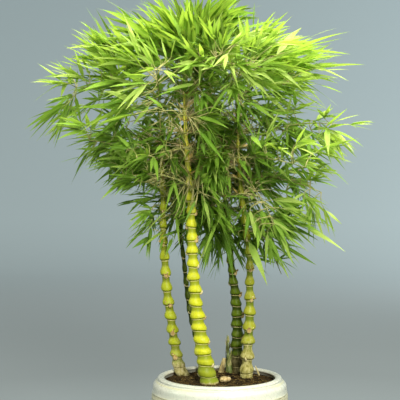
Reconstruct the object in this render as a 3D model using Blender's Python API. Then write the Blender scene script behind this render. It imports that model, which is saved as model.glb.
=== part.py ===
"""A potted Buddha's-belly bamboo: a round glazed pot, its soil, five swollen culms and their leafy branches.

Metres, +Z up. The origin is the middle of the pot's flat base, -Y is the front.
"""

import math
import random
from dataclasses import dataclass

import bmesh
import bpy
from mathutils import Quaternion, Vector
from mathutils.bvhtree import BVHTree

# The gap that touching pieces keep.
GAP = 0.0004

# The pot: an open, full-bellied drum with a rolled lip, on a flat base.
POT_HEIGHT = 0.165
POT_SIDES = 32
BELLY_RADIUS = 0.1195
BELLY_Z = 0.112
BASE_TAPER = 0.285
SHOULDER_TAPER = 0.046
BELLY_STEPS = 6
WALL = 0.0095
WALL_STEPS = 5
FLOOR = 0.012
FLOOR_CORNER_WIDTH = 0.012
FLOOR_CORNER_HEIGHT = 0.010
LIP_ROUND = 0.006
LIP_RISE = 0.0036
LIP_RADIUS = 0.1025
LIP_TURNS = (-10, 35, 90, 145, 190)
SHOULDER_Z = 0.1530
NECK = ((0.1146, 0.1556), (0.1120, 0.1576), (0.1088, 0.1594))
INSIDE_BELOW_SHOULDER = 0.006
FOOT_CHAMFER = 0.003
DRAIN_COUNT = 3
DRAIN_SIDES = 12
DRAIN_RADIUS = 0.0065
DRAIN_CIRCLE = 0.040
GROOVE_WIDTH = 0.008
GROOVE_DEPTH = 0.003
GROOVE_OVERRUN = 0.004

# The drain mesh that keeps the soil off the drain holes.
MESH_SIDE = 0.100
MESH_CELLS = 9
MESH_THICKNESS = 0.0012

# The soil: just under the lip at the wall, and a little higher in the middle.
SOIL_EDGE_Z = 0.1555
SOIL_RISE = 0.0035
SOIL_EDGE_RADIUS = LIP_RADIUS - LIP_ROUND
SOIL_EDGE_TUCK = 0.0034
SOIL_RINGS = (0.93, 0.6, 0.3, 0.0)

# The rhizome chip on the soil.
CHIP_MIDDLE = Vector((0.0102, -0.030, 0.0))
CHIP_HALF = Vector((0.0100, 0.0068, 0.0064))
CHIP_KNOB = 0.16
CHIP_FLAT = 0.5

# The culms.
CULM_SIDES = 8
NODE_PINCH = 0.80
BELLY_SHARE = 0.34
ROOT_DEPTH = 0.048
BUTT = ((1.0, 0.55), (0.55, 0.82), (0.16, 0.96))

# The leafy branches: how they leave their culm, and what is tried where one meets something.
BRANCH_TURN = math.radians(137.5)
BRANCH_NUDGE = math.radians(6)
BRANCH_TRIES = 90
BRANCH_REACH = (0.055, 0.200)
BRANCH_ARCH = 0.26
BRANCH_STEEP = 0.20
ARCH_NUDGE = 0.010
ARCH_FOOT = 0.38
BRANCH_HALF = 0.0016
BRANCH_TO_CULM = 0.6

# The twigs: side twigs leave the stem at the sections in TWIG_SIDES, to its left (1) or right (-1).
TWIG_HALF = 0.0010
STEM_SHARES = (0.0, 0.22, 0.46, 0.50, 0.72, 0.76, 1.0)
TWIG_SIDES = {3: 1, 5: -1}
TWIG_WAY = (0.62, 0.78, -0.08)
TWIG_NEAR = 0.006
TWIG_LENGTH = (0.024, 0.036)

# The fans of leaves at the twigs' ends.
MAIN_LEAF = (0.080, 0.100)
SIDE_LEAF = (0.070, 0.090)
LEAF_SHRINK = (0.84, 1.0)
LEAF_SEGMENT = 0.0034
FAN_SPREAD = math.radians(25)
FAN_START = math.radians(14)
FAN_ROLL = 1.0
BLADE_SLENDERNESS = 0.13
BLADE_FREE_FROM = 0.3
BLADE_FREE_WIDTH = 0.6
BLADE_THICKNESS = 0.0009
BLADE_WIDEST = 0.36
BLADE_DROOP = 0.10
BLADE_TRIES = 12
BLADE_SWING = 0.24


@dataclass
class Culm:
    """A bamboo cane: its axis as stations (x, y, z, radius), its internodes and the branches it carries."""

    name: str
    stations: list
    first_internode: float
    last_internode: float
    settles_after: float
    leafy_from: float
    branches: int
    phase: float
    tips: tuple
    colour: tuple

    def at(self, z):
        """The axis point (x, y) and the radius at height z, on a smooth curve through the stations."""
        s = self.stations
        i = 0
        while i < len(s) - 2 and z > s[i + 1][2]:
            i += 1
        before, start, end = s[max(i - 1, 0)], s[i], s[i + 1]
        after = s[min(i + 2, len(s) - 1)]
        span = end[2] - start[2]
        t = min(max((z - start[2]) / span, 0.0), 1.0)
        found = []
        for k in (0, 1, 3):
            slope_in = (end[k] - before[k]) / (end[2] - before[2]) * span
            slope_out = (after[k] - start[k]) / (after[2] - start[2]) * span
            found.append(
                start[k] * (2 * t**3 - 3 * t**2 + 1)
                + slope_in * (t**3 - 2 * t**2 + t)
                + end[k] * (3 * t**2 - 2 * t**3)
                + slope_out * (t**3 - t**2)
            )
        return Vector((found[0], found[1], z)), found[2]

    def node_heights(self):
        """The heights of the nodes, from the soil up: short internodes at the base, longer ones above."""
        z, top, heights = self.stations[0][2], self.stations[-1][2], []
        while z < top - 0.4 * self.last_internode:
            heights.append(z)
            grown = 1 - math.exp(-len(heights) / self.settles_after)
            z += self.first_internode + (self.last_internode - self.first_internode) * grown
        return heights


CULMS = [
    Culm(
        name="culm_centre",
        stations=[
            (-0.0180, -0.032, 0.1550, 0.0155),
            (-0.0274, -0.031, 0.2049, 0.0142),
            (-0.0377, -0.030, 0.2660, 0.0124),
            (-0.0446, -0.029, 0.3336, 0.0110),
            (-0.0481, -0.028, 0.4040, 0.0094),
            (-0.0506, -0.026, 0.4777, 0.0076),
            (-0.0576, -0.024, 0.5583, 0.0047),
            (-0.0625, -0.022, 0.6800, 0.0019),
        ],
        first_internode=0.0135,
        last_internode=0.0230,
        settles_after=3.6,
        leafy_from=0.49,
        branches=8,
        phase=math.radians(200),
        tips=(0.520, 0.752),
        colour=(0.52, 0.56, 0.04),
    ),
    Culm(
        name="culm_left",
        stations=[
            (-0.0640, 0.050, 0.1550, 0.0112),
            (-0.0720, 0.050, 0.1727, 0.0106),
            (-0.0790, 0.050, 0.2088, 0.0103),
            (-0.0931, 0.049, 0.3036, 0.0094),
            (-0.0974, 0.048, 0.3602, 0.0085),
            (-0.1002, 0.045, 0.4181, 0.0064),
            (-0.1010, 0.042, 0.4959, 0.0050),
            (-0.1090, 0.038, 0.6150, 0.0018),
        ],
        first_internode=0.0135,
        last_internode=0.0320,
        settles_after=6.0,
        leafy_from=0.43,
        branches=8,
        phase=math.radians(165),
        tips=(0.465, 0.725),
        colour=(0.33, 0.42, 0.04),
    ),
    Culm(
        name="culm_right",
        stations=[
            (0.0468, 0.022, 0.1410, 0.0113),
            (0.0508, 0.022, 0.2156, 0.0117),
            (0.0535, 0.022, 0.2654, 0.0104),
            (0.0537, 0.022, 0.3170, 0.0085),
            (0.0531, 0.022, 0.3704, 0.0067),
            (0.0430, 0.023, 0.4518, 0.0058),
            (0.0366, 0.024, 0.5075, 0.0043),
            (0.0300, 0.026, 0.6500, 0.0018),
        ],
        first_internode=0.0240,
        last_internode=0.0270,
        settles_after=4.0,
        leafy_from=0.44,
        branches=9,
        phase=math.radians(22),
        tips=(0.385, 0.748),
        colour=(0.30, 0.33, 0.04),
    ),
    Culm(
        name="culm_back_right",
        stations=[
            (0.0329, 0.064, 0.1550, 0.0102),
            (0.0329, 0.064, 0.2632, 0.0095),
            (0.0298, 0.064, 0.3003, 0.0086),
            (0.0245, 0.064, 0.3377, 0.0070),
            (0.0194, 0.065, 0.3758, 0.0056),
            (0.0127, 0.066, 0.4449, 0.0046),
            (0.0030, 0.070, 0.6200, 0.0017),
        ],
        first_internode=0.0150,
        last_internode=0.0200,
        settles_after=4.0,
        leafy_from=0.42,
        branches=7,
        phase=math.radians(60),
        tips=(0.400, 0.742),
        colour=(0.06, 0.12, 0.03),
    ),
    Culm(
        name="culm_back_left",
        stations=[
            (-0.0270, 0.068, 0.1550, 0.0056),
            (-0.0395, 0.067, 0.2150, 0.0052),
            (-0.0500, 0.067, 0.2560, 0.0050),
            (-0.0575, 0.067, 0.3050, 0.0048),
            (-0.0630, 0.068, 0.3550, 0.0042),
            (-0.0705, 0.070, 0.4174, 0.0036),
            (-0.0820, 0.074, 0.5500, 0.0017),
        ],
        first_internode=0.0190,
        last_internode=0.0260,
        settles_after=4.0,
        leafy_from=0.40,
        branches=5,
        phase=math.radians(120),
        tips=(0.455, 0.705),
        colour=(0.05, 0.10, 0.03),
    ),
]

# What else grows from the soil, as stations (x, y, z, radius): a young shoot in its sheaths, the stub of a culm
# that was cut off, and a dry stick.
YOUNG_SHOOT = [
    (0.0186, 0.058, 0.146, 0.0040),
    (0.0184, 0.058, 0.158, 0.0055),
    (0.0178, 0.058, 0.178, 0.0047),
    (0.0166, 0.058, 0.196, 0.0030),
    (0.0156, 0.058, 0.212, 0.0016),
    (0.0147, 0.058, 0.228, 0.0005),
]
CUT_STUB = [
    (0.0015, 0.050, 0.146, 0.0040),
    (0.0028, 0.050, 0.158, 0.0050),
    (0.0062, 0.051, 0.174, 0.0042),
    (0.0098, 0.052, 0.187, 0.0030),
]
DRY_STICK = [
    (0.0745, 0.050, 0.146, 0.0013),
    (0.0722, 0.050, 0.156, 0.0015),
    (0.0688, 0.050, 0.165, 0.0014),
    (0.0652, 0.050, 0.173, 0.0010),
]

# The crown that the leaves fill: widest at CROWN_WIDE_Z, round above, and below it tapering and leaning to +X.
CROWN_CENTRE = Vector((-0.031, 0.020, 0.0))
CROWN_LEAN = 0.26
CROWN_RADIUS = 0.306
CROWN_DEPTH = 0.86
CROWN_WIDE_Z = 0.640
CROWN_TOP_Z = 0.845
CROWN_BOTTOM_Z = 0.315


def clear_scene():
    """Removes the startup scene's objects."""
    for obj in list(bpy.data.objects):
        bpy.data.objects.remove(obj)


def finish(name, colour, roughness):
    """A plain dielectric material."""
    made = bpy.data.materials.new(name)
    made.use_nodes = True
    shader = made.node_tree.nodes["Principled BSDF"]
    shader.inputs["Base Color"].default_value = (*colour, 1)
    shader.inputs["Roughness"].default_value = roughness
    shader.inputs["Metallic"].default_value = 0
    made.diffuse_color = (*colour, 1)
    return made


def add_object(name, bm, material, smooth_angle=None):
    """The finished mesh as an object in the scene, and bm freed."""
    mesh = bpy.data.meshes.new(name)
    bm.to_mesh(mesh)
    bm.free()
    if smooth_angle is not None:
        mesh.shade_smooth()
        mesh.set_sharp_from_angle(angle=smooth_angle)
    obj = bpy.data.objects.new(name, mesh)
    bpy.context.scene.collection.objects.link(obj)
    mesh.materials.append(material)
    return obj


def cut(obj, cutter, name):
    """Cuts the cutter's shape out of obj, and hides the cutter."""
    cutter.hide_render = True
    cutter.display_type = "WIRE"
    modifier = obj.modifiers.new(name, "BOOLEAN")
    modifier.operation = "DIFFERENCE"
    modifier.object = cutter


def turned(profile, sides):
    """A closed solid of revolution: the profile runs from the axis up the outside, and back to the axis."""
    bm = bmesh.new()
    verts = [bm.verts.new((r, 0, z)) for r, z in profile]
    edges = [bm.edges.new(pair) for pair in zip(verts, verts[1:])]
    bmesh.ops.spin(
        bm,
        geom=verts + edges,
        cent=(0, 0, 0),
        axis=(0, 0, 1),
        angle=2 * math.pi,
        steps=sides,
        use_merge=True,
    )
    bmesh.ops.remove_doubles(bm, verts=bm.verts, dist=1e-6)
    bmesh.ops.recalc_face_normals(bm, faces=bm.faces)
    return bm


def outer_radius(z):
    """The pot's outside at height z: full at the belly, drawn in to the base and a little to the shoulder."""
    if z < BELLY_Z:
        return BELLY_RADIUS * (1 - BASE_TAPER * ((BELLY_Z - z) / BELLY_Z) ** 2)
    return BELLY_RADIUS * (1 - SHOULDER_TAPER * ((z - BELLY_Z) / (POT_HEIGHT - BELLY_Z)) ** 2)


def inner_profile(clearance):
    """The pot's inside from the middle of the floor up to the lip, drawn in by clearance."""
    low, high = FLOOR + FLOOR_CORNER_HEIGHT, SHOULDER_Z - INSIDE_BELOW_SHOULDER
    wall = [low + (high - low) * k / WALL_STEPS for k in range(WALL_STEPS + 1)]
    floor_radius = outer_radius(low) - WALL - FLOOR_CORNER_WIDTH
    points = [(0, FLOOR + clearance), (floor_radius - clearance, FLOOR + clearance)]
    points += [(outer_radius(z) - WALL - clearance, z + clearance / 2) for z in wall]
    return points


def pot_profile():
    """The pot's section: flat base, belly, shoulder, neck, rolled lip, and the inside down to the floor."""
    belly = [FOOT_CHAMFER + (SHOULDER_Z - FOOT_CHAMFER) * k / BELLY_STEPS for k in range(BELLY_STEPS + 1)]
    outside = [(0, 0), (outer_radius(0) - FOOT_CHAMFER, 0)]
    outside += [(outer_radius(z), z) for z in belly]
    lip_z = POT_HEIGHT - LIP_RISE
    turns = [math.radians(degrees) for degrees in LIP_TURNS]
    lip = [(LIP_RADIUS + LIP_ROUND * math.cos(a), lip_z + LIP_RISE * math.sin(a)) for a in turns]
    return outside + list(NECK) + lip + inner_profile(0)[::-1]


def build_pot(material):
    """The pot, with three drain holes in its floor and a groove under each that lets the water out."""
    bm = turned(pot_profile(), POT_SIDES)
    pot = add_object("pot", bm, material, math.radians(35))
    drain, channel = bmesh.new(), bmesh.new()
    reach = outer_radius(0) + GROOVE_OVERRUN
    for k in range(DRAIN_COUNT):
        turn = 2 * math.pi * k / DRAIN_COUNT + math.pi / 2
        out = Vector((math.cos(turn), math.sin(turn), 0))
        side = Vector((-out.y, out.x, 0))
        made = bmesh.ops.create_cone(
            drain,
            cap_ends=True,
            segments=DRAIN_SIDES,
            radius1=DRAIN_RADIUS,
            radius2=DRAIN_RADIUS,
            depth=2 * FLOOR + GROOVE_DEPTH,
        )
        bmesh.ops.translate(drain, verts=made["verts"], vec=out * DRAIN_CIRCLE + Vector((0, 0, FLOOR / 2)))
        groove = bmesh.ops.create_cube(channel, size=1)["verts"]
        for v in groove:
            x, y, z = v.co
            along = DRAIN_CIRCLE if x < 0 else reach
            v.co = out * along + side * (y * GROOVE_WIDTH)
            v.co.z = GROOVE_DEPTH if z > 0 else -GROOVE_DEPTH
    cut(pot, add_object("drain_cutter", drain, material), "drains")
    cut(pot, add_object("groove_cutter", channel, material), "grooves")
    return pot


def build_drain_mesh(material):
    """A square of plastic net: a grid with every second cell open, given its thickness."""
    bm = bmesh.new()
    bmesh.ops.create_grid(bm, x_segments=MESH_CELLS, y_segments=MESH_CELLS, size=MESH_SIDE / 2)
    bm.faces.ensure_lookup_table()
    open_cells = [f for k, f in enumerate(bm.faces) if k % MESH_CELLS % 2 and k // MESH_CELLS % 2]
    bmesh.ops.delete(bm, geom=open_cells, context="FACES")
    net = add_object("drain_mesh", bm, material)
    net.location.z = FLOOR + GAP
    solid = net.modifiers.new("thickness", "SOLIDIFY")
    solid.thickness = MESH_THICKNESS
    solid.offset = 1
    return net


def soil_height(radius):
    """The height of the soil's surface at this distance from the middle, where it is highest."""
    return SOIL_EDGE_Z + SOIL_RISE * (1 - (radius / SOIL_EDGE_RADIUS) ** 2)


def build_soil(material, culms):
    """The soil that fills the pot, with a socket for the buried butt of every culm."""
    above_mesh = MESH_THICKNESS + 2 * GAP
    inside = [(r, max(z, FLOOR + above_mesh)) for r, z in inner_profile(GAP)]
    edge = (SOIL_EDGE_RADIUS + SOIL_EDGE_TUCK, SOIL_EDGE_Z)
    top = [(SOIL_EDGE_RADIUS * share, soil_height(SOIL_EDGE_RADIUS * share)) for share in SOIL_RINGS]
    soil = add_object("soil", turned([*inside, edge, *top], POT_SIDES), material, math.radians(30))
    for culm in culms:
        sockets = culm_rings(culm, culm.node_heights()[:2], GAP)
        cutter = add_object(culm.name + "_socket", lofted(sockets), material)
        cut(soil, cutter, culm.name)
    return soil


def culm_rings(culm, heights, proud=0.0):
    """A culm's rings (centre, radius) from its buried butt up: pinched at each node, swollen above it."""
    foot, radius = culm.at(heights[0])
    lean = (culm.at(heights[1])[0] - foot) / (heights[1] - heights[0])
    rings = []
    for share, thickness in BUTT:
        depth = ROOT_DEPTH * share
        rings.append((foot - lean * depth, radius * thickness + proud))
    rings[0][0].z -= proud
    for low, high in zip(heights, heights[1:] + [None]):
        centre, radius = culm.at(low)
        rings.append((centre, radius * NODE_PINCH + proud))
        if high is not None:
            centre, radius = culm.at(low + (high - low) * BELLY_SHARE)
            rings.append((centre, radius + proud))
    return rings


def lofted(rings):
    """A closed skin through round horizontal rings."""
    bm = bmesh.new()
    loops = []
    for centre, radius in rings:
        ring = bmesh.ops.create_circle(bm, segments=CULM_SIDES, radius=radius)["verts"]
        bmesh.ops.translate(bm, verts=ring, vec=centre)
        loops.append(ring)
    for low, high in zip(loops, loops[1:]):
        for k in range(CULM_SIDES):
            n = (k + 1) % CULM_SIDES
            bm.faces.new((low[k], low[n], high[n], high[k]))
    bm.faces.new(loops[0])
    bm.faces.new(loops[-1])
    bmesh.ops.recalc_face_normals(bm, faces=bm.faces)
    return bm


def build_culm(culm, material):
    """A culm, from its buried butt to its leader."""
    bm = lofted(culm_rings(culm, culm.node_heights()))
    return add_object(culm.name, bm, material, math.radians(50))


def plant_stem(name, stations, material, soil):
    """A small stem lofted through stations (x, y, z, radius), and its socket in the soil."""
    rings = [(Vector(s[:3]), s[3]) for s in stations]
    stem = add_object(name, lofted(rings), material, math.radians(50))
    socket = [(Vector(s[:3]), s[3] + GAP) for s in stations[:3]]
    socket[0][0].z -= GAP
    cut(soil, add_object(name + "_socket", lofted(socket), material), name)
    return stem


def build_chip(material):
    """A broken piece of old rhizome that lies on the soil, knobbly above and flat underneath."""
    bm = bmesh.new()
    bmesh.ops.create_icosphere(bm, subdivisions=2, radius=1)
    bed = soil_height(CHIP_MIDDLE.length) + GAP
    for v in bm.verts:
        knob = 1 + CHIP_KNOB * math.sin(5 * v.co.x) * math.cos(3 * v.co.y)
        v.co.z = max(v.co.z * knob, -CHIP_FLAT) + CHIP_FLAT
        v.co = v.co * Vector((knob, knob, 1)) * CHIP_HALF + CHIP_MIDDLE
        v.co.z += bed
    return add_object("rhizome_chip", bm, material)


@dataclass
class Section:
    """A four-cornered section of a stem or blade: its middle, ways along and across, and half sizes."""

    middle: Vector
    along: Vector
    across: Vector
    half_width: float
    half_thickness: float

    def corners(self, proud=0.0):
        """The four corners, anticlockwise as seen from the growing end, each side moved out by proud."""
        along = self.along.normalized()
        across = (self.across - along * self.across.dot(along)).normalized()
        wide = across * (self.half_width + proud)
        thick = along.cross(across) * (self.half_thickness + proud)
        return [self.middle + corner for corner in (wide + thick, thick - wide, -wide - thick, wide - thick)]


def skin(start, end, tip=None, proud=0.0):
    """The points and faces of a length between two sections, which runs on to a tip if it has one."""
    points = start.corners(proud) + end.corners(proud)
    faces = [(k, (k + 1) % 4, 4 + (k + 1) % 4, 4 + k) for k in range(4)] + [(3, 2, 1, 0)]
    if tip is None:
        return points, faces + [(4, 5, 6, 7)]
    beyond = tip + (tip - end.middle).normalized() * 2 * proud
    return points + [beyond], faces + [(4 + k, 4 + (k + 1) % 4, 8) for k in range(4)]


class Thicket:
    """What has grown so far, so that a new length can be tried for room."""

    def __init__(self):
        self.pieces = []

    def add(self, owner, points, faces):
        middle, radius = ball_of(points)
        self.pieces.append((owner, middle, radius, BVHTree.FromPolygons(points, faces)))

    def has_room(self, points, faces, ignore=()):
        """True if these faces meet no piece whose owner isn't in ignore."""
        middle, radius = ball_of(points)
        tree = BVHTree.FromPolygons(points, faces)
        for owner, other_middle, other_radius, other in self.pieces:
            near = (middle - other_middle).length < radius + other_radius
            if near and owner not in ignore and tree.overlap(other):
                return False
        return True


def ball_of(points):
    """The middle and the radius of a ball that holds the points."""
    middle = sum(points, Vector()) / len(points)
    return middle, max((p - middle).length for p in points)


class Branch:
    """A leafy branch as one closed mesh, which grows by extruding its end faces and its twigs' side faces."""

    def __init__(self, name, thicket, seed):
        self.name = name
        self.stem_name = name + "_stem"
        self.thicket = thicket
        self.chance = random.Random(seed)
        self.bm = bmesh.new()

    def start(self, foot, top):
        """The first length, from the section foot to the section top. Returns its end face."""
        points, faces = skin(foot, top)
        verts = [self.bm.verts.new(p) for p in points]
        made = [self.bm.faces.new([verts[k] for k in face]) for face in faces]
        self.bm.normal_update()
        return made[-1]

    def extend(self, face, section):
        """Grows the face to the section, and returns the new end face."""
        end = bmesh.ops.extrude_discrete_faces(self.bm, faces=[face])["faces"][0]
        verts = [loop.vert for loop in end.loops]
        targets = section.corners()

        def stretch(turn):
            return sum((v.co - targets[(k + turn) % 4]).length_squared for k, v in enumerate(verts))

        turn = min(range(4), key=stretch)
        for k, v in enumerate(verts):
            v.co = targets[(k + turn) % 4]
        for edge in end.edges:
            for f in edge.link_faces:
                f.normal_update()
        return end

    def flank(self, end, direction):
        """The side face of the length that ends at end, on the side that direction points to."""
        sides = [f for edge in end.edges for f in edge.link_faces if f != end]
        return max(sides, key=lambda f: f.normal.dot(direction))

    def blade(self, face, direction, across, length):
        """Grows a leaf blade from the face, out to its widest and on to its tip, the first way with room."""
        root = face.calc_center_median()
        for attempt in range(BLADE_TRIES):
            swing = direction.copy()
            if attempt:
                swing += Vector([self.chance.uniform(-BLADE_SWING, BLADE_SWING) for _ in range(3)])
            swing.normalize()
            tip = root + swing * length - Vector((0, 0, BLADE_DROOP * length))
            middle = root + swing * (BLADE_WIDEST * length)
            middle.z -= BLADE_DROOP * BLADE_WIDEST**2 * length
            half = length * BLADE_SLENDERNESS / 2
            base = Section(root, swing, across, LEAF_SEGMENT / 2, TWIG_HALF)
            clear = root.lerp(middle, BLADE_FREE_FROM)
            free = Section(clear, middle - root, across, half * BLADE_FREE_WIDTH, TWIG_HALF)
            wide = Section(middle, tip - root, across, half, BLADE_THICKNESS / 2)
            clear_of_others = self.thicket.has_room(*skin(base, wide, tip, GAP), (self.name, self.stem_name))
            if clear_of_others and self.thicket.has_room(*skin(free, wide, tip, GAP)):
                end = self.extend(face, wide)
                bmesh.ops.poke(self.bm, faces=[end])["verts"][0].co = tip
                self.thicket.add(self.name, *skin(base, wide, tip))
                return

    def fan(self, end, start, across, pairs, size):
        """Leafs out a twig's end past the section start: pairs of blades on short lengths, one at the tip."""
        flanks = []
        for k in range(pairs):
            middle = start.middle + start.along.normalized() * LEAF_SEGMENT
            section = Section(middle, start.along, across, TWIG_HALF, TWIG_HALF)
            if not self.thicket.has_room(*skin(start, section, None, GAP), (self.name, self.stem_name)):
                break
            self.thicket.add(self.stem_name, *skin(start, section))
            end, start = self.extend(end, section), section
            flanks += [(self.flank(end, across * side), side, pairs - k) for side in (1, -1)]
        along = start.along.normalized()
        self.blade(end, along, across, size)
        for face, side, rank in flanks:
            spread = FAN_START + FAN_SPREAD * rank
            direction = along * math.cos(spread) + across * side * math.sin(spread)
            self.blade(face, direction, along, size * self.chance.uniform(*LEAF_SHRINK))

    def grow(self, foot, tip, lift, radius):
        """The whole branch: an arched stem with a side twig on either side, and a fan of leaves on each."""
        out = tip - foot
        control = foot + out * ARCH_FOOT + Vector((0, 0, lift))
        level = Vector((-out.y, out.x, 0)).normalized()
        sections = []
        for t in STEM_SHARES:
            point = foot * (1 - t) ** 2 + control * (2 * t * (1 - t)) + tip * t**2
            along = ((control - foot) * (1 - t) + (tip - control) * t).normalized()
            half = radius + (TWIG_HALF - radius) * t
            sections.append(Section(point, along, level, half, half))
        lengths = list(zip(sections, sections[1:]))
        if not all(self.thicket.has_room(*skin(a, b, None, GAP)) for a, b in lengths):
            return False
        for a, b in lengths:
            self.thicket.add(self.stem_name, *skin(a, b))
        end = self.start(sections[0], sections[1])
        twigs = []
        for k, section in enumerate(sections[2:], start=2):
            end = self.extend(end, section)
            if k in TWIG_SIDES:
                side = level * TWIG_SIDES[k]
                twigs.append((self.flank(end, side), side, section.along))
        for face, side, along in twigs:
            self.side_twig(face, side, along)
        roll = Quaternion(sections[-1].along, self.chance.uniform(-FAN_ROLL, FAN_ROLL))
        self.fan(end, sections[-1], roll @ level, 2, self.chance.uniform(*MAIN_LEAF))
        return True

    def side_twig(self, face, side, along):
        """A side twig with a fan of three blades."""
        forward, sideways, up = TWIG_WAY
        direction = (along * forward + side * sideways + Vector((0, 0, up))).normalized()
        roll = Quaternion(direction, self.chance.uniform(-FAN_ROLL, FAN_ROLL))
        across = roll @ direction.cross(Vector((0, 0, 1))).normalized()
        root = face.calc_center_median()
        near, far = (
            Section(root + direction * reach, direction, across, TWIG_HALF, TWIG_HALF)
            for reach in (TWIG_NEAR, self.chance.uniform(*TWIG_LENGTH))
        )
        foot = Section(root, direction, across, TWIG_HALF * 2, TWIG_HALF * 2)
        clear_of_others = self.thicket.has_room(*skin(foot, far, None, GAP), (self.name, self.stem_name))
        if not clear_of_others or not self.thicket.has_room(*skin(near, far, None, GAP)):
            return
        self.thicket.add(self.stem_name, *skin(foot, far))
        end = self.extend(self.extend(face, near), far)
        self.fan(end, far, across, 1, self.chance.uniform(*SIDE_LEAF))


def crown_radius(z):
    """The crown's radius along X at height z: an ellipse above its widest, and a sharper taper below it."""
    if z > CROWN_WIDE_Z:
        share = (z - CROWN_WIDE_Z) / (CROWN_TOP_Z - CROWN_WIDE_Z)
        return CROWN_RADIUS * max(1 - share**2, 0.0) ** 0.5
    share = (CROWN_WIDE_Z - z) / (CROWN_WIDE_Z - CROWN_BOTTOM_Z)
    return CROWN_RADIUS * max(1 - share**2, 0.0)


def distance_to_crown(start, direction, z):
    """How far the crown's edge at height z is from start along the level direction."""
    radius = crown_radius(z)
    scale = Vector((1 / radius, 1 / (radius * CROWN_DEPTH), 0))
    lean = Vector((CROWN_LEAN * max(CROWN_WIDE_Z - z, 0.0), 0, 0))
    offset, way = (start - CROWN_CENTRE - lean) * scale, direction * scale
    half = offset.dot(way) / way.length_squared
    return math.sqrt(max(half**2 - (offset.length_squared - 1) / way.length_squared, 0.0)) - half


def branch_plans(culm):
    """Each branch's start, its way out and its tip's height, from the lowest leafy node up, round the culm."""
    nodes = [z for z in culm.node_heights() if z >= culm.leafy_from]
    for k in range(culm.branches):
        share = k / (culm.branches - 1)
        z = nodes[round(share * (len(nodes) - 1))]
        yield z, culm.phase + k * BRANCH_TURN, culm.tips[0] + (culm.tips[1] - culm.tips[0]) * share


def grow_branches(culms, thicket, material):
    """Every leafy branch. One that meets something is turned a little and tried again."""
    for culm in culms:
        for k, (z, heading, tip_z) in enumerate(branch_plans(culm)):
            name = f"{culm.name.replace('culm', 'branch')}_{k + 1:02d}"
            for attempt in range(BRANCH_TRIES):
                step, level = divmod(attempt, 3)
                turn = heading + BRANCH_NUDGE * ((step + 1) // 2) * (1 if step % 2 else -1)
                direction = Vector((math.cos(turn), math.sin(turn), 0))
                centre, radius = culm.at(z)
                foot = centre + direction * (radius * NODE_PINCH + BRANCH_HALF + 2 * GAP)
                room = distance_to_crown(foot, direction, tip_z) - MAIN_LEAF[1]
                reach = min(max(room, BRANCH_REACH[0]), BRANCH_REACH[1])
                tip = foot + direction * reach
                tip.z = tip_z
                branch = Branch(name, thicket, seed=name)
                lift = BRANCH_ARCH * reach - BRANCH_STEEP * (tip_z - z) - ARCH_NUDGE * level
                if branch.grow(foot, tip, lift, min(BRANCH_HALF, radius * BRANCH_TO_CULM)):
                    add_object(name, branch.bm, material)
                    break
                branch.bm.free()
            else:
                raise RuntimeError(f"no room for {name}")


def main():
    """The whole plant in its pot."""
    clear_scene()
    glaze = finish("pot_glaze", (0.83, 0.83, 0.74), 0.35)
    net = finish("drain_net", (0.03, 0.03, 0.03), 0.6)
    earth = finish("soil", (0.065, 0.040, 0.018), 0.95)
    leaf = finish("leafy_branch", (0.16, 0.36, 0.03), 0.5)
    husk = finish("old_rhizome", (0.62, 0.42, 0.20), 0.8)
    sprout = finish("young_shoot", (0.16, 0.18, 0.05), 0.6)

    build_pot(glaze)
    build_drain_mesh(net)
    soil = build_soil(earth, CULMS)
    thicket = Thicket()
    for culm in CULMS:
        obj = build_culm(culm, finish(culm.name, culm.colour, 0.4))
        points = [v.co.copy() for v in obj.data.vertices]
        faces = [tuple(p.vertices) for p in obj.data.polygons]
        thicket.add(culm.name, points, faces)
    plant_stem("young_shoot", YOUNG_SHOOT, sprout, soil)
    plant_stem("cut_stub", CUT_STUB, husk, soil)
    plant_stem("dry_stick", DRY_STICK, husk, soil)
    build_chip(husk)
    grow_branches(CULMS, thicket, leaf)


main()
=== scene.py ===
"""A potted Buddha's-belly bamboo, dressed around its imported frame.

Metres, +Z up. The middle of the pot's base is the origin, and -Y is the front.
"""

from __future__ import annotations

import logging
import math
from dataclasses import dataclass, field, replace
from enum import Enum
from functools import reduce

import bpy
import numpy as np
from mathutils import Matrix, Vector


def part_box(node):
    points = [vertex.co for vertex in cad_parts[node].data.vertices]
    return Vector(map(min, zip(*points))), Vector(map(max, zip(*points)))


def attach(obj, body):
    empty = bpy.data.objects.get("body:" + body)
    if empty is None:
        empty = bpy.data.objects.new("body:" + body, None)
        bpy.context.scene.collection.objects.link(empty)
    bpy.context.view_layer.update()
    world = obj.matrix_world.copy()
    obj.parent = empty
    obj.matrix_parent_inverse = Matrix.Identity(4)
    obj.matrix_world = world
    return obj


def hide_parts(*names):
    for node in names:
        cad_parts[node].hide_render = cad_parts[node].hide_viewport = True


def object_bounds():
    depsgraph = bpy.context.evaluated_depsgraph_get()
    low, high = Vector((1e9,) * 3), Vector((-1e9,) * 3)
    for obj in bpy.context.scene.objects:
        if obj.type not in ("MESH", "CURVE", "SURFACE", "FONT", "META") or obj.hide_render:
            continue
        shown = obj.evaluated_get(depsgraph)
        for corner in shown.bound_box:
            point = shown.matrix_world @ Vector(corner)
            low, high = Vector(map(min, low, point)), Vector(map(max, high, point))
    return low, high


log = logging.getLogger("bamboo")

Array = np.ndarray
Chance = np.random.Generator
Colour = tuple[float, float, float]
Material = bpy.types.Material
Object = bpy.types.Object
Socket = bpy.types.NodeSocket
Stops = list[tuple[float, Colour]]

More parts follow.
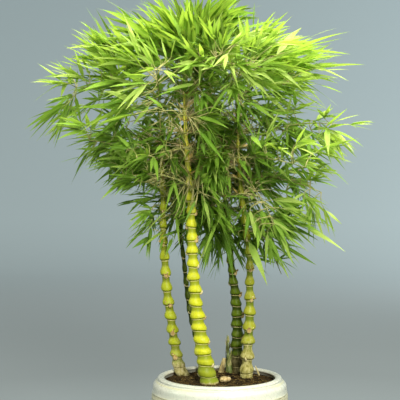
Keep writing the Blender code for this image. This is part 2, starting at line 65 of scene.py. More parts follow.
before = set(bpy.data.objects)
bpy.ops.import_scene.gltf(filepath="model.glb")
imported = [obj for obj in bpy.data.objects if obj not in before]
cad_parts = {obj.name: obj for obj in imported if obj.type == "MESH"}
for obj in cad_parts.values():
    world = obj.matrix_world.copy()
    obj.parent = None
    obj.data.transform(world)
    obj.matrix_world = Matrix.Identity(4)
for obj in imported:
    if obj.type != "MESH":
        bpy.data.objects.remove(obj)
CAD_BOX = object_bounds()
BODY = "root"
UP = np.array((0.0, 0.0, 1.0))
WAVES = 9


# ---- arrays


def unit(vectors: Array) -> Array:
    """The vectors at length one."""
    return vectors / np.maximum(np.linalg.norm(vectors, axis=-1, keepdims=True), 1e-9)


def smoothstep(x: Array, low: float, high: float) -> Array:
    """Zero below low, one above high, and the cubic 3t^2 - 2t^3 between."""
    t = np.clip((x - low) / (high - low), 0.0, 1.0)
    return t * t * (3 - 2 * t)


def level_ways(angles: Array) -> Array:
    """Level directions of length one, at these angles from +X."""
    return np.column_stack([np.cos(angles), np.sin(angles), np.zeros(len(angles))])


def bump(x: Array, middle: float, width: float) -> Array:
    """A bell curve of height one: e to the minus ((x - middle) / width) squared."""
    return np.exp(-(((x - middle) / width) ** 2))


def ripple(points: Array, pitch: float, seed: int) -> Array:
    """A smooth uneven field between about -1 and 1.

    It is the mean of WAVES sines of the distance along random directions, each with a wavelength near pitch.

    Args:
        points: Places, with x, y and z last.
        pitch: The distance from crest to crest.
        seed: Picks the directions.

    Returns:
        One value for each place.
    """
    chance = np.random.default_rng(seed)
    ways = unit(chance.normal(size=(WAVES, 3))) * chance.uniform(0.7, 1.5, (WAVES, 1)) * math.tau / pitch
    return np.sin(points @ ways.T + chance.uniform(0, math.tau, WAVES)).mean(axis=-1) * 1.8


def through(at: Array, knots: Array, values: Array) -> Array:
    """A smooth curve through values at knots: the cubic Hermite spline whose slopes are the central differences.

    Args:
        at: Where the curve is wanted.
        knots: Rising parameters.
        values: One row for each knot.

    Returns:
        One row for each entry of at.
    """
    slopes = np.gradient(values, knots, axis=0)
    k = np.clip(np.searchsorted(knots, at) - 1, 0, len(knots) - 2)
    span = knots[k + 1] - knots[k]
    t = np.clip((at - knots[k]) / span, 0.0, 1.0)
    if values.ndim > 1:
        t, span = t[..., None], span[..., None]
    start = values[k] * (2 * t**3 - 3 * t**2 + 1) + slopes[k] * span * (t**3 - 2 * t**2 + t)
    return start + values[k + 1] * (3 * t**2 - 2 * t**3) + slopes[k + 1] * span * (t**3 - t**2)


def curves(starts: Array, controls: Array, ends: Array, stops: int) -> Array:
    """Quadratic curves of so many stops: start * (1 - t)^2 + control * 2 * t * (1 - t) + end * t^2."""
    t = np.linspace(0, 1, stops)[None, :, None]
    return starts[:, None] * (1 - t) ** 2 + controls[:, None] * 2 * t * (1 - t) + ends[:, None] * t**2


def arches(starts: Array, ends: Array, lifts: Array, stops: int) -> Array:
    """Curves whose control points stand two fifths of the way from starts to ends, raised by lifts."""
    return curves(starts, starts + (ends - starts) * 0.4 + lifts[:, None] * UP, ends, stops)


# ---- surfaces


@dataclass
class Surface:
    """A mesh as arrays: its points, its four- and three-sided faces, and what it carries at each point."""

    points: Array
    quads: Array
    tris: Array = field(default_factory=lambda: np.zeros((0, 3), int))
    uv: Array | None = None
    traits: dict[str, Array] = field(default_factory=dict)

    @staticmethod
    def joined(parts: list[Surface]) -> Surface:
        """Joins surfaces into one.

        Args:
            parts: The surfaces, which carry the same traits.

        Returns:
            The joined surface, without a UV map.
        """
        shifts = np.cumsum([0] + [len(p.points) for p in parts[:-1]])
        return Surface(
            np.concatenate([p.points for p in parts]),
            np.concatenate([p.quads + s for p, s in zip(parts, shifts)]),
            np.concatenate([p.tris + s for p, s in zip(parts, shifts)]),
            traits={k: np.concatenate([p.traits[k] for p in parts]) for k in parts[0].traits},
        )

    def mesh(self, name: str) -> bpy.types.Mesh:
        """Makes the surface a smooth mesh, with its UV map and a float attribute for each trait.

        Args:
            name: The mesh's name.

        Returns:
            The mesh.
        """
        made = bpy.data.meshes.new(name)
        corners = np.concatenate([self.quads.ravel(), self.tris.ravel()]).astype(np.int32)
        sizes = np.repeat([4, 3], [len(self.quads), len(self.tris)]).astype(np.int32)
        starts = np.concatenate([[0], np.cumsum(sizes)[:-1]]).astype(np.int32)
        made.vertices.add(len(self.points))
        made.vertices.foreach_set("co", self.points.astype(np.float32).ravel())
        made.loops.add(len(corners))
        made.loops.foreach_set("vertex_index", corners)
        made.polygons.add(len(sizes))
        made.polygons.foreach_set("loop_start", starts)
        made.polygons.foreach_set("loop_total", sizes)
        made.polygons.foreach_set("use_smooth", np.ones(len(sizes), bool))
        if self.uv is not None:
            made.uv_layers.new(name="UVMap").data.foreach_set("uv", self.uv[corners].astype(np.float32).ravel())
        for trait, values in self.traits.items():
            layer = made.attributes.new(trait, "FLOAT", "POINT")
            layer.data.foreach_set("value", np.broadcast_to(values, len(self.points)).astype(np.float32))
        made.update(calc_edges=True)
        return made


def grid_quads(count: int, rows: int, columns: int, closed: bool) -> Array:
    """The four-sided faces of grids of points that follow each other.

    Args:
        count: How many grids there are.
        rows: How many rows each has.
        columns: How many points a row has.
        closed: Whether a row's last point is joined to its first.

    Returns:
        Rows of four point numbers.
    """
    across = columns if closed else columns - 1
    row, column = np.meshgrid(np.arange(rows - 1), np.arange(across), indexing="ij")
    after = (column + 1) % columns
    low, high = row * columns, (row + 1) * columns
    one = np.stack([low + column, low + after, high + after, high + column], -1).reshape(-1, 4)
    return (one[None] + (np.arange(count) * rows * columns)[:, None, None]).reshape(-1, 4)


def skins(rings: Array, feet: Array, heads: Array, traits: dict[str, Array] | None = None) -> Surface:
    """Closed skins over stacks of rings: four-sided faces between rings, and a fan to a point at each end.

    Args:
        rings: An array of (skins, rings, points round a ring, 3), anticlockwise as seen from the head.
        feet: The point that closes each skin's first ring.
        heads: The point that closes each skin's last ring.
        traits: What the rings carry, as arrays of (skins, rings).

    Returns:
        All skins as one surface.
    """
    count, stops, sides = rings.shape[:3]
    which = np.arange(count)[:, None]
    first, last = which * stops * sides, ((which + 1) * stops - 1) * sides
    pole = count * stops * sides + which
    k, after = np.arange(sides), (np.arange(sides) + 1) % sides
    foot = np.stack(np.broadcast_arrays(pole, first + after, first + k), -1)
    head = np.stack(np.broadcast_arrays(pole + count, last + k, last + after), -1)
    return Surface(
        np.concatenate([rings.reshape(-1, 3), feet, heads]),
        grid_quads(count, stops, sides, True),
        np.concatenate([foot.reshape(-1, 3), head.reshape(-1, 3)]),
        traits={
            name: np.concatenate([np.repeat(values.ravel(), sides), values[:, 0], values[:, -1]])
            for name, values in (traits or {}).items()
        },
    )


def tubes(paths: Array, radii: Array, sides: int, flat: float = 1.0, **traits: Array) -> Surface:
    """Round closed tubes along paths.

    A point is path + radius * (normal * cos a + flat * side * sin a), for a from 0 to a full turn. Each end is closed.

    Args:
        paths: An array of (tubes, stops, 3).
        radii: The radius at each stop.
        sides: How many sides a tube has.
        flat: The thickness across, as a share of the thickness along the normal.
        traits: A value for each tube, or for each of its stops.

    Returns:
        All tubes as one surface.
    """
    along = unit(np.gradient(paths, axis=1))
    mean = np.abs(along.mean(axis=1, keepdims=True))
    normal = unit(np.cross(along, np.eye(3)[np.argmin(mean, axis=-1)]))
    side = np.cross(along, normal)
    a = np.arange(sides) * math.tau / sides
    ring = normal[:, :, None] * np.cos(a)[:, None] + flat * side[:, :, None] * np.sin(a)[:, None]
    rings = paths[:, :, None] + radii[:, :, None, None] * ring
    carried = {name: np.broadcast_to(v if v.ndim == 2 else v[:, None], radii.shape) for name, v in traits.items()}
    return skins(rings, paths[:, 0], paths[:, -1], carried)


def spun(profile: Array, columns: int) -> Array:
    """The points of a profile carried round the Z axis: (r cos a, r sin a, z), for r and z along the profile.

    Args:
        profile: Rows of radius and height.
        columns: How many steps a full turn has.

    Returns:
        An array of (rows, columns, 3).
    """
    a = np.arange(columns) * math.tau / columns
    r, z = profile[:, :1], profile[:, 1:]
    return np.stack([r * np.cos(a), r * np.sin(a), np.broadcast_to(z, (len(profile), columns))], -1)


def turned(profile: Array, columns: int) -> Surface:
    """A closed surface turned round Z, from a profile that starts at the base's middle and ends on the axis again."""
    poles = np.array([[0, 0, profile[0, 1]], [0, 0, profile[-1, 1]]])
    return skins(spun(profile[1:-1], columns)[None], poles[:1], poles[1:])


@dataclass
class Blades:
    """Leaf blades, one row each: where each starts, its way out, the way its face looks, and its sizes."""

    base: Array
    way: Array
    face: Array
    length: Array
    width: Array
    droop: Array
    twist: Array
    tone: Array

    ROWS = 7
    SPREAD = np.array((-1.0, -0.52, 0.0, 0.52, 1.0))
    FOLD = 0.20
    CUP = 0.10
    FULLNESS = 2.59
    STALK_SHARE = 0.10
    TIP_SHARE = 0.015
    SHORTEST_CUT = 0.45

    def tips(self) -> Array:
        """Where each blade ends."""
        return self.base + self.length[:, None] * (self.way - self.droop[:, None] * UP)

    def kept_inside(self, low: Array, high: Array) -> Blades:
        """Shortens the blades that pass a box so that they end in it, and drops those left much too short.

        Args:
            low: The box's lowest corner.
            high: The box's highest corner.

        Returns:
            The blades that are left.
        """
        reach = self.tips() - self.base
        bound = np.where(reach > 0, high, low)
        share = np.where(np.abs(reach) > 1e-6, (bound - self.base) / np.where(reach == 0, 1, reach), 1.0)
        cut = np.clip(share.min(axis=1), 0.0, 1.0)
        length, width = self.length * cut, self.width * cut**0.3
        return replace(self, length=length, width=width).picked(cut > self.SHORTEST_CUT)

    def picked(self, keep: Array) -> Blades:
        """The blades where keep is true."""
        return Blades(*(values[keep] for values in vars(self).values()))

    def surface(self) -> Surface:
        """The blades as lance-shaped sheets.

        With t from foot to tip, the midrib is base + length * (way * t - droop * up * t^2), and the half width is
        width / 2 * 2.59 * t^0.45 * (1 - t)^1.15. The halves fold up from the midrib and cup down at their edges.

        Returns:
            All blades as one surface, with the way across and the way along as its UV.
        """
        t = np.linspace(0.0, 1.0, self.ROWS) ** 0.92
        midrib = self.base[:, None] + self.length[:, None, None] * (
            self.way[:, None] * t[:, None] - (self.droop[:, None] * t**2)[..., None] * UP
        )
        along = unit(self.way[:, None] - (self.droop[:, None] * 2 * t)[..., None] * UP)
        flat = unit(np.cross(along, self.face[:, None]))
        turn = (self.twist[:, None] * t)[..., None]
        across = flat * np.cos(turn) + np.cross(along, flat) * np.sin(turn)
        normal = np.cross(across, along)
        shape = self.FULLNESS * t**0.45 * (1 - t) ** 1.15
        shape[0], shape[-1] = self.STALK_SHARE, self.TIP_SHARE
        half = self.width[:, None] / 2 * shape
        x = self.SPREAD
        rise = self.FOLD * np.abs(x) - self.CUP * x**2
        points = midrib[:, :, None] + half[..., None, None] * (
            across[:, :, None] * x[:, None] + normal[:, :, None] * rise[:, None]
        )
        uv = np.stack(np.broadcast_arrays((x + 1) / 2, t[:, None]), -1)
        return Surface(
            points.reshape(-1, 3),
            grid_quads(len(self.base), self.ROWS, len(x), False),
            uv=np.tile(uv.reshape(-1, 2), (len(self.base), 1)),
            traits={"tone": np.repeat(self.tone, self.ROWS * len(x))},
        )

    @staticmethod
    def joined(parts: list[Blades]) -> Blades:
        """All parts as one set."""
        return Blades(*(np.concatenate(values) for values in zip(*(vars(p).values() for p in parts))))


# ---- shaders


class Signal:
    """A number in a shader, which Python's operators work on."""

    def __init__(self, bench: Bench, socket: Socket) -> None:
        """Wraps a bench's socket."""
        self.bench = bench
        self.socket = socket

    def maths(self, operation: str, *values: Signal | float) -> Signal:
        """The Math node of that operation on these values."""
        made = self.bench.node("ShaderNodeMath", {"operation": operation}, dict(enumerate(values)))
        return Signal(self.bench, made.outputs[0])

    def __add__(self, other: Signal | float) -> Signal:
        """This plus other."""
        return self.maths("ADD", self, other)

    __radd__ = __add__

    def __sub__(self, other: Signal | float) -> Signal:
        """This less other."""
        return self.maths("SUBTRACT", self, other)

    def __rsub__(self, other: float) -> Signal:
        """Other less this."""
        return self.maths("SUBTRACT", other, self)

    def __mul__(self, other: Signal | float) -> Signal:
        """This times other."""
        return self.maths("MULTIPLY", self, other)

    __rmul__ = __mul__

    def size(self) -> Signal:
        """This without its sign."""
        return self.maths("ABSOLUTE", self)

    def wave(self) -> Signal:
        """The sine of this."""
        return self.maths("SINE", self)

    def step(self, low: float, high: float) -> Signal:
        """Zero below low, one above high, and a smooth rise between. With low above high it falls."""
        made = self.bench.node("ShaderNodeMapRange", {"interpolation_type": "SMOOTHSTEP"}, {0: self, 1: low, 2: high})
        return Signal(self.bench, made.outputs[0])


class Bench:
    """A material under work, which makes nodes and joins them."""

    def __init__(self, name: str) -> None:
        """Starts a material with nothing in it but its output.

        Args:
            name: The material's name.
        """
        self.material = bpy.data.materials.new(name)
        self.material.use_nodes = True
        self.tree = self.material.node_tree
        self.tree.nodes.clear()
        self.output = self.tree.nodes.new("ShaderNodeOutputMaterial")

    def node(self, kind: str, settings: dict | None = None, inputs: dict | None = None) -> bpy.types.Node:
        """Makes a node.

        Args:
            kind: The node's type.
            settings: Its properties.
            inputs: What its sockets hold: a value, a socket or a Signal.

        Returns:
            The node.
        """
        made = self.tree.nodes.new(kind)
        for name, value in (settings or {}).items():
            setattr(made, name, value)
        for key, value in (inputs or {}).items():
            value = value.socket if isinstance(value, Signal) else value
            if isinstance(value, Socket):
                self.tree.links.new(value, made.inputs[key])
            elif isinstance(value, tuple) and len(value) == 3 and made.inputs[key].type == "RGBA":
                made.inputs[key].default_value = (*value, 1.0)
            else:
                made.inputs[key].default_value = value
        return made

    def trait(self, name: str) -> Signal:
        """What the mesh carries under that name."""
        return Signal(self, self.node("ShaderNodeAttribute", {"attribute_name": name}).outputs["Fac"])

    def place(self, stretch: Colour = (1.0, 1.0, 1.0)) -> Socket:
        """The place on the object, each axis scaled by stretch."""
        where = self.node("ShaderNodeTexCoord").outputs["Object"]
        return self.node("ShaderNodeMapping", None, {"Vector": where, "Scale": stretch}).outputs[0]

    def noise(self, pitch: float, detail: float = 3.0, stretch: Colour = (1.0, 1.0, 1.0)) -> Signal:
        """Uneven noise between 0 and 1 whose lumps are about pitch wide."""
        inputs = {"Vector": self.place(stretch), "Scale": 1.0 / pitch, "Detail": detail, "Roughness": 0.55}
        return Signal(self, self.node("ShaderNodeTexNoise", None, inputs).outputs[0])

    def cells(self, pitch: float, feature: str = "F1") -> Signal:
        """The distance to the nearest of scattered points about pitch apart, as a share of pitch."""
        inputs = {"Vector": self.place(), "Scale": 1.0 / pitch}
        return Signal(self, self.node("ShaderNodeTexVoronoi", {"feature": feature}, inputs).outputs["Distance"])

    def mix(self, share: Signal | float, below: object, above: object) -> Socket:
        """The colour below, with above laid over it by share."""
        return self.node("ShaderNodeMix", {"data_type": "RGBA"}, {0: share, 6: below, 7: above}).outputs[2]

    def coats(self, base: Socket | Colour, *coats: tuple[Signal, object]) -> Socket:
        """The base colour with coats laid over it in order, each a share and a colour."""
        return reduce(lambda below, coat: self.mix(coat[0], below, coat[1]), coats, base)

    def ragged(self, trait: str, noise: Signal, amount: float, low: float, high: float) -> Signal:
        """Where a trait is strong, with an edge that noise moves in and out: it rises from low to high."""
        return (self.trait(trait) + (noise - 0.5) * amount).step(low, high)

    def ramp(self, value: Signal, stops: Stops) -> Socket:
        """A colour that changes with a value.

        Args:
            value: The value.
            stops: The colours, and the values from 0 to 1 at which they stand.

        Returns:
            The colour.
        """
        made = self.node("ShaderNodeValToRGB", None, {0: value})
        elements = made.color_ramp.elements
        while len(elements) < len(stops):
            elements.new(1.0)
        for element, (place, colour) in zip(elements, stops):
            element.position = place
            element.color = (*colour, 1.0)
        return made.outputs[0]

    def relief(self, height: Signal, depth: float) -> Socket:
        """The normal of a surface that height raises by up to depth metres."""
        return self.node("ShaderNodeBump", None, {"Height": height, "Distance": depth, "Strength": 1.0}).outputs[0]

    def finish(self, through_light: tuple[Signal | float, Colour] | None = None, **sockets: object) -> Material:
        """Closes the material.

        Args:
            through_light: The share of light that the surface lets through, and its colour.
            sockets: What the Principled shader's sockets hold, with underscores for spaces.

        Returns:
            The finished material.
        """
        inputs = {name.replace("_", " "): value for name, value in sockets.items()}
        shader = self.node("ShaderNodeBsdfPrincipled", None, inputs).outputs[0]
        if through_light:
            share, colour = through_light
            glow = self.node("ShaderNodeBsdfTranslucent", None, {"Color": colour}).outputs[0]
            shader = self.node("ShaderNodeMixShader", None, {0: share, 1: shader, 2: glow}).outputs[0]
        self.tree.links.new(shader, self.output.inputs["Surface"])
        return self.material


# ---- finishes


@dataclass(frozen=True)
class CaneFinish:
    """A cane's waxy skin: yellow on the bellies with painted highlights, green at the necks, cream on the scars,
    painted shade in the node grooves, dull and flaky at the foot.
    """

    name: str
    belly: Colour
    neck: Colour
    olive: Colour
    tan: Colour = (0.58, 0.46, 0.085)
    scar: Colour = (0.66, 0.58, 0.26)
    husk: Colour = (0.40, 0.34, 0.12)
    flake: Colour = (0.60, 0.53, 0.27)
    # Dark brown-green, for the flecks, the gaps between flakes and the painted shade in the node grooves.
    gap: Colour = (0.110, 0.095, 0.014)
    foot: Colour = (0.17, 0.23, 0.018)
    # The painted highlight's colour, and how strongly it is laid on the bellies.
    painted_highlight: Colour = (0.66, 0.67, 0.26)
    highlight_share: float = 0.25
    sheen: float = 0.18

    def make(self) -> Material:
        """Makes the material, which reads the traits belly, ridge, groove, scaly, low and young.

        Returns:
            The material.
        """
        b = Bench(self.name)
        streaks = b.noise(0.0022, 4.0, (1.0, 1.0, 0.10))
        clouds = b.noise(0.016, 2.0)
        flakes = b.noise(0.0040, 5.0, (1.0, 1.0, 0.45))
        belly = b.ragged("belly", clouds, 0.4, 0.05, 0.85)
        # Painted highlights: pale patches on the bellies.
        painted_highlight = b.noise(0.007, 3.0, (1.0, 1.0, 0.5)).step(0.50, 0.72) * belly
        flecks = b.cells(0.0034).step(0.16, 0.08) * b.noise(0.02).step(0.54, 0.62)
        scaly = (b.trait("scaly") * 1.5 + (flakes - 0.5) * 1.1 - 0.25).step(0.1, 0.55)
        groove = b.ragged("groove", streaks, 0.5, 0.30, 0.90)
        skin = b.coats(
            self.neck,
            (belly, self.belly),
            ((clouds * streaks).step(0.24, 0.42) * 0.30, self.olive),
            ((b.trait("young") * (0.6 + (clouds - 0.5) * 1.6)).step(0.15, 0.9) * 0.65, self.tan),
            (painted_highlight * self.highlight_share, self.painted_highlight),
            # Towards the foot: painted shade, dark green or near black, on the centre and back canes; the foot's own
            # tan on the left and right canes.
            (b.trait("low") * (0.45 + clouds * 0.5), self.foot),
            (flecks * 0.45, self.gap),
            (scaly * 0.92, b.ramp(flakes, [(0.30, self.gap), (0.44, self.husk), (0.66, self.flake)])),
            (b.ragged("ridge", flakes, 0.9, 0.35, 0.95) * 0.75, self.scar),
            # The node grooves and the low double rings are darkened: partly the node's own dark line, partly painted
            # shade under each belly.
            (groove * 0.85, self.gap),
        )
        grain = b.relief(streaks * 0.4 + flakes * (0.3 + scaly * 2.4) - groove * 0.6, 0.0006)
        rough = 0.36 + clouds * 0.14 + scaly * 0.35 + groove * 0.2
        return b.finish(Base_Color=skin, Roughness=rough, Normal=grain, Specular_IOR_Level=self.sheen)


@dataclass(frozen=True)
class LeafFinish:
    """A bamboo leaf, from deep green in the shade to lime, with a pale midrib and fine veins."""

    name: str = "leaf_blade"
    deep: Colour = (0.027, 0.070, 0.004)
    green: Colour = (0.112, 0.250, 0.014)
    fresh: Colour = (0.275, 0.485, 0.048)
    lime: Colour = (0.555, 0.715, 0.160)
    rib: Colour = (0.46, 0.62, 0.16)
    worn: Colour = (0.60, 0.54, 0.24)
    light: Colour = (0.46, 0.68, 0.06)
    vein_count: float = 88.0

    def make(self) -> Material:
        """Makes the material, which reads the trait tone and the UV map.

        Returns:
            The material.
        """
        b = Bench(self.name)
        place = b.node("ShaderNodeUVMap", {"uv_map": "UVMap"}).outputs[0]
        split = b.node("ShaderNodeSeparateXYZ", None, {0: place}).outputs
        across, along = Signal(b, split["X"]), Signal(b, split["Y"])
        drift = b.noise(0.022, 2.0)
        tone = b.trait("tone") + (drift - 0.5) * 0.22 + (along - 0.5) * 0.15
        veins = (across * self.vein_count + drift * 2.0).wave()
        rib = (across - 0.5).size().step(0.055, 0.02)
        # Besides each leaf's own tone, the tone trait holds painted light and shade from its place in the crown: deep
        # green stands for shade, lime for light.
        skin = b.coats(
            b.ramp(tone, [(0.0, self.deep), (0.34, self.green), (0.66, self.fresh), (0.94, self.lime)]),
            (veins.step(0.1, 1.0) * 0.12, self.rib),
            (rib * 0.5, self.rib),
            (along.step(0.16, 0.0) * 0.45, self.rib),
            ((along + drift * 0.16).step(1.0, 1.1) * 0.6, self.worn),
        )
        normal = b.relief(veins * 0.4 - rib * 1.5, 0.00022)
        rough = 0.34 + drift * 0.14
        through_light = (0.10 + tone.step(0.15, 0.9) * 0.26, self.light)
        return b.finish(through_light, Base_Color=skin, Roughness=rough, Normal=normal, Specular_IOR_Level=0.17)


@dataclass(frozen=True)
class WoodyFinish:
    """A fibrous stem, husk or chip: streaks that run between three colours, with a dry or waxy face."""

    name: str
    dark: Colour
    middle: Colour
    pale: Colour
    pitch: float = 0.004
    roughness: float = 0.75

    def make(self) -> Material:
        """Makes the material, which reads the trait tone: 0 is darker and 1 paler.

        Returns:
            The material.
        """
        b = Bench(self.name)
        fibres = b.noise(self.pitch, 5.0, (1.0, 1.0, 0.35))
        patches = b.noise(self.pitch * 6, 2.0)
        value = fibres * 0.7 + patches * 0.5 + (b.trait("tone") - 0.5) * 0.5
        skin = b.ramp(value, [(0.36, self.dark), (0.58, self.middle), (0.82, self.pale)])
        pits = b.cells(self.pitch * 0.8).step(0.28, 0.10)
        skin = b.mix(pits * 0.35, skin, self.dark)
        normal = b.relief(fibres - pits * 0.5, 0.0005)
        return b.finish(Base_Color=skin, Roughness=self.roughness + (fibres - 0.5) * 0.2, Normal=normal)


@dataclass(frozen=True)
class GlazeFinish:
    """A creamy glaze, yellow on the carving and dark in its lines, over a bare buff foot."""

    name: str = "pot_glaze"
    cream: Colour = (0.68, 0.68, 0.55)
    mint: Colour = (0.59, 0.64, 0.51)
    straw: Colour = (0.70, 0.65, 0.32)
    line: Colour = (0.17, 0.14, 0.06)
    pale: Colour = (0.74, 0.74, 0.66)
    speck: Colour = (0.22, 0.20, 0.12)
    clay: Colour = (0.50, 0.38, 0.24)
    clay_grit: Colour = (0.62, 0.50, 0.34)
    # Inside colours: moss and rust stains, darkened for painted shade.
    moss_and_shade: Colour = (0.045, 0.050, 0.018)
    rust_and_shade: Colour = (0.16, 0.070, 0.020)

    def make(self) -> Material:
        """Makes the material, which reads the traits carved, hollow, washed, bare and inside.

        Returns:
            The material.
        """
        b = Bench(self.name)
        clouds = b.noise(0.045, 4.0)
        mottle = b.noise(0.0075, 4.0)
        tint = (b.trait("carved") * 1.2 + (clouds - 0.5) * 0.9 + (mottle - 0.5) * 0.6).step(0.25, 0.95)
        # Darker in the carved lines.
        line_darkening = b.ragged("hollow", mottle, 0.9, 0.30, 0.95)
        specks = b.cells(0.0060).step(0.13, 0.06) * b.noise(0.03).step(0.50, 0.60)
        crackle = b.cells(0.011, "DISTANCE_TO_EDGE").step(0.035, 0.0)
        bare = b.ragged("bare", mottle, 0.12, 0.45, 0.55)
        # Inside below the rim: painted shade, with moss and rust stains.
        stain_and_shade = (b.trait("inside") * 1.2 + (clouds - 0.5) * 0.6).step(0.20, 0.75)
        skin = b.coats(
            self.cream,
            (clouds.step(0.42, 0.66) * 0.55, self.mint),
            (mottle.step(0.50, 0.74) * 0.35, self.pale),
            (tint * 0.50, self.straw),
            (b.ragged("washed", mottle, 0.8, 0.2, 0.9) * 0.55, self.straw),
            (line_darkening * (0.35 + b.trait("carved") * 0.60), self.line),
            (specks * 0.75, self.speck),
            (crackle * 0.16, self.line),
            (bare, b.ramp(b.noise(0.003, 4.0), [(0.35, self.clay), (0.65, self.clay_grit)])),
            (stain_and_shade * 0.92, b.ramp(clouds, [(0.40, self.moss_and_shade), (0.60, self.rust_and_shade)])),
        )
        normal = b.relief(clouds * 0.9 + mottle * 0.35 - crackle * 0.10 + bare * mottle, 0.0012)
        rough = 0.22 + mottle * 0.12 + bare * 0.5 + stain_and_shade * 0.3 + line_darkening * 0.1
        return b.finish(Base_Color=skin, Roughness=rough, Normal=normal, Coat_Weight=0.25, Coat_Roughness=0.12)


@dataclass(frozen=True)
class SoilFinish:
    """Potting soil: dark humus with brown crumbs and pale grit."""

    name: str = "potting_soil"
    humus: Colour = (0.007, 0.004, 0.001)
    loam: Colour = (0.045, 0.027, 0.007)
    crumb: Colour = (0.14, 0.085, 0.022)
    grit: Colour = (0.42, 0.30, 0.10)

    def make(self) -> Material:
        """Makes the material, which reads the trait tone: 0 is humus and 1 pale grit.

        Returns:
            The material.
        """
        b = Bench(self.name)
        crumbs = b.noise(0.0022, 6.0)
        patches = b.noise(0.014, 3.0)
        value = crumbs * 0.80 + patches * 0.20 + (b.trait("tone") - 0.3) * 0.5
        skin = b.ramp(value, [(0.36, self.humus), (0.50, self.loam), (0.66, self.crumb), (0.88, self.grit)])
        normal = b.relief(crumbs + b.cells(0.0018) * 0.6, 0.0014)
        return b.finish(Base_Color=skin, Roughness=0.84 + crumbs * 0.12, Normal=normal, Specular_IOR_Level=0.15)


@dataclass(frozen=True)
class NetFinish:
    """Moulded black plastic, dusty with soil."""

    name: str = "drain_net"
    plastic: Colour = (0.012, 0.012, 0.012)
    dust: Colour = (0.11, 0.08, 0.045)

    def make(self) -> Material:
        """Makes the material.

        Returns:
            The material.
        """
        b = Bench(self.name)
        dust = b.noise(0.006, 4.0)
        skin = b.mix(dust.step(0.5, 0.75) * 0.6, self.plastic, self.dust)
        return b.finish(Base_Color=skin, Roughness=0.5 + dust * 0.3, Normal=b.relief(dust, 0.0003))


# ---- pieces


def linked(name: str, data: bpy.types.ID) -> Object:
    """Makes an object of the data, and puts it in the scene.

    Args:
        name: The object's name.
        data: Its mesh, light or camera.

    Returns:
        The object.
    """
    made = bpy.data.objects.new(name, data)
    bpy.context.scene.collection.objects.link(made)
    return made


def place_piece(name: str, surface: Surface, material: Material, slot: str, *nodes: str) -> Object:
    """Makes a surface a piece of the object.

    Args:
        name: The piece's name.
        surface: Its shape, in the object's frame.
        material: Its finish.
        slot: The record's material slot that it belongs to; not used.
        nodes: The frame's nodes that it stands for.

    Returns:
        The piece.
    """
    mesh = surface.mesh(name)
    mesh.materials.append(material)
    piece = linked(name, mesh)
    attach(piece, BODY)
    if nodes:
        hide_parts(*nodes)
    log.info("%s: %d points, %d faces", name, len(surface.points), len(surface.quads) + len(surface.tris))
    return piece


def node_points(node: str) -> Array:
    """The corners of a frame node's mesh.

    Args:
        node: The frame node's name.

    Returns:
        Rows of x, y and z.
    """
    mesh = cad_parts[node].data
    flat = np.zeros(len(mesh.vertices) * 3, np.float32)
    mesh.vertices.foreach_get("co", flat)
    return flat.reshape(-1, 3).astype(float)


def node_rings(node: str) -> tuple[Array, Array]:
    """A lofted node's round level rings, from the lowest up.

    Args:
        node: The frame node's name.

    Returns:
        The rings' middles, and their radii.
    """
    points = node_points(node)
    heights, which = np.unique(np.round(points[:, 2], 5), return_inverse=True)
    low = np.full((len(heights), 2), np.inf)
    high = np.full((len(heights), 2), -np.inf)
    np.minimum.at(low, which.ravel(), points[:, :2])
    np.maximum.at(high, which.ravel(), points[:, :2])
    middles = np.column_stack([(low + high) / 2, heights])
    return middles, (high - low).max(axis=1) / 2


class Turn(Enum):
    """Which way a cane's first bud looks, as an angle from +X."""

    RIGHT = math.radians(-22)
    FRONT = math.radians(-88)
    LEFT = math.radians(202)
    BACK = math.radians(70)


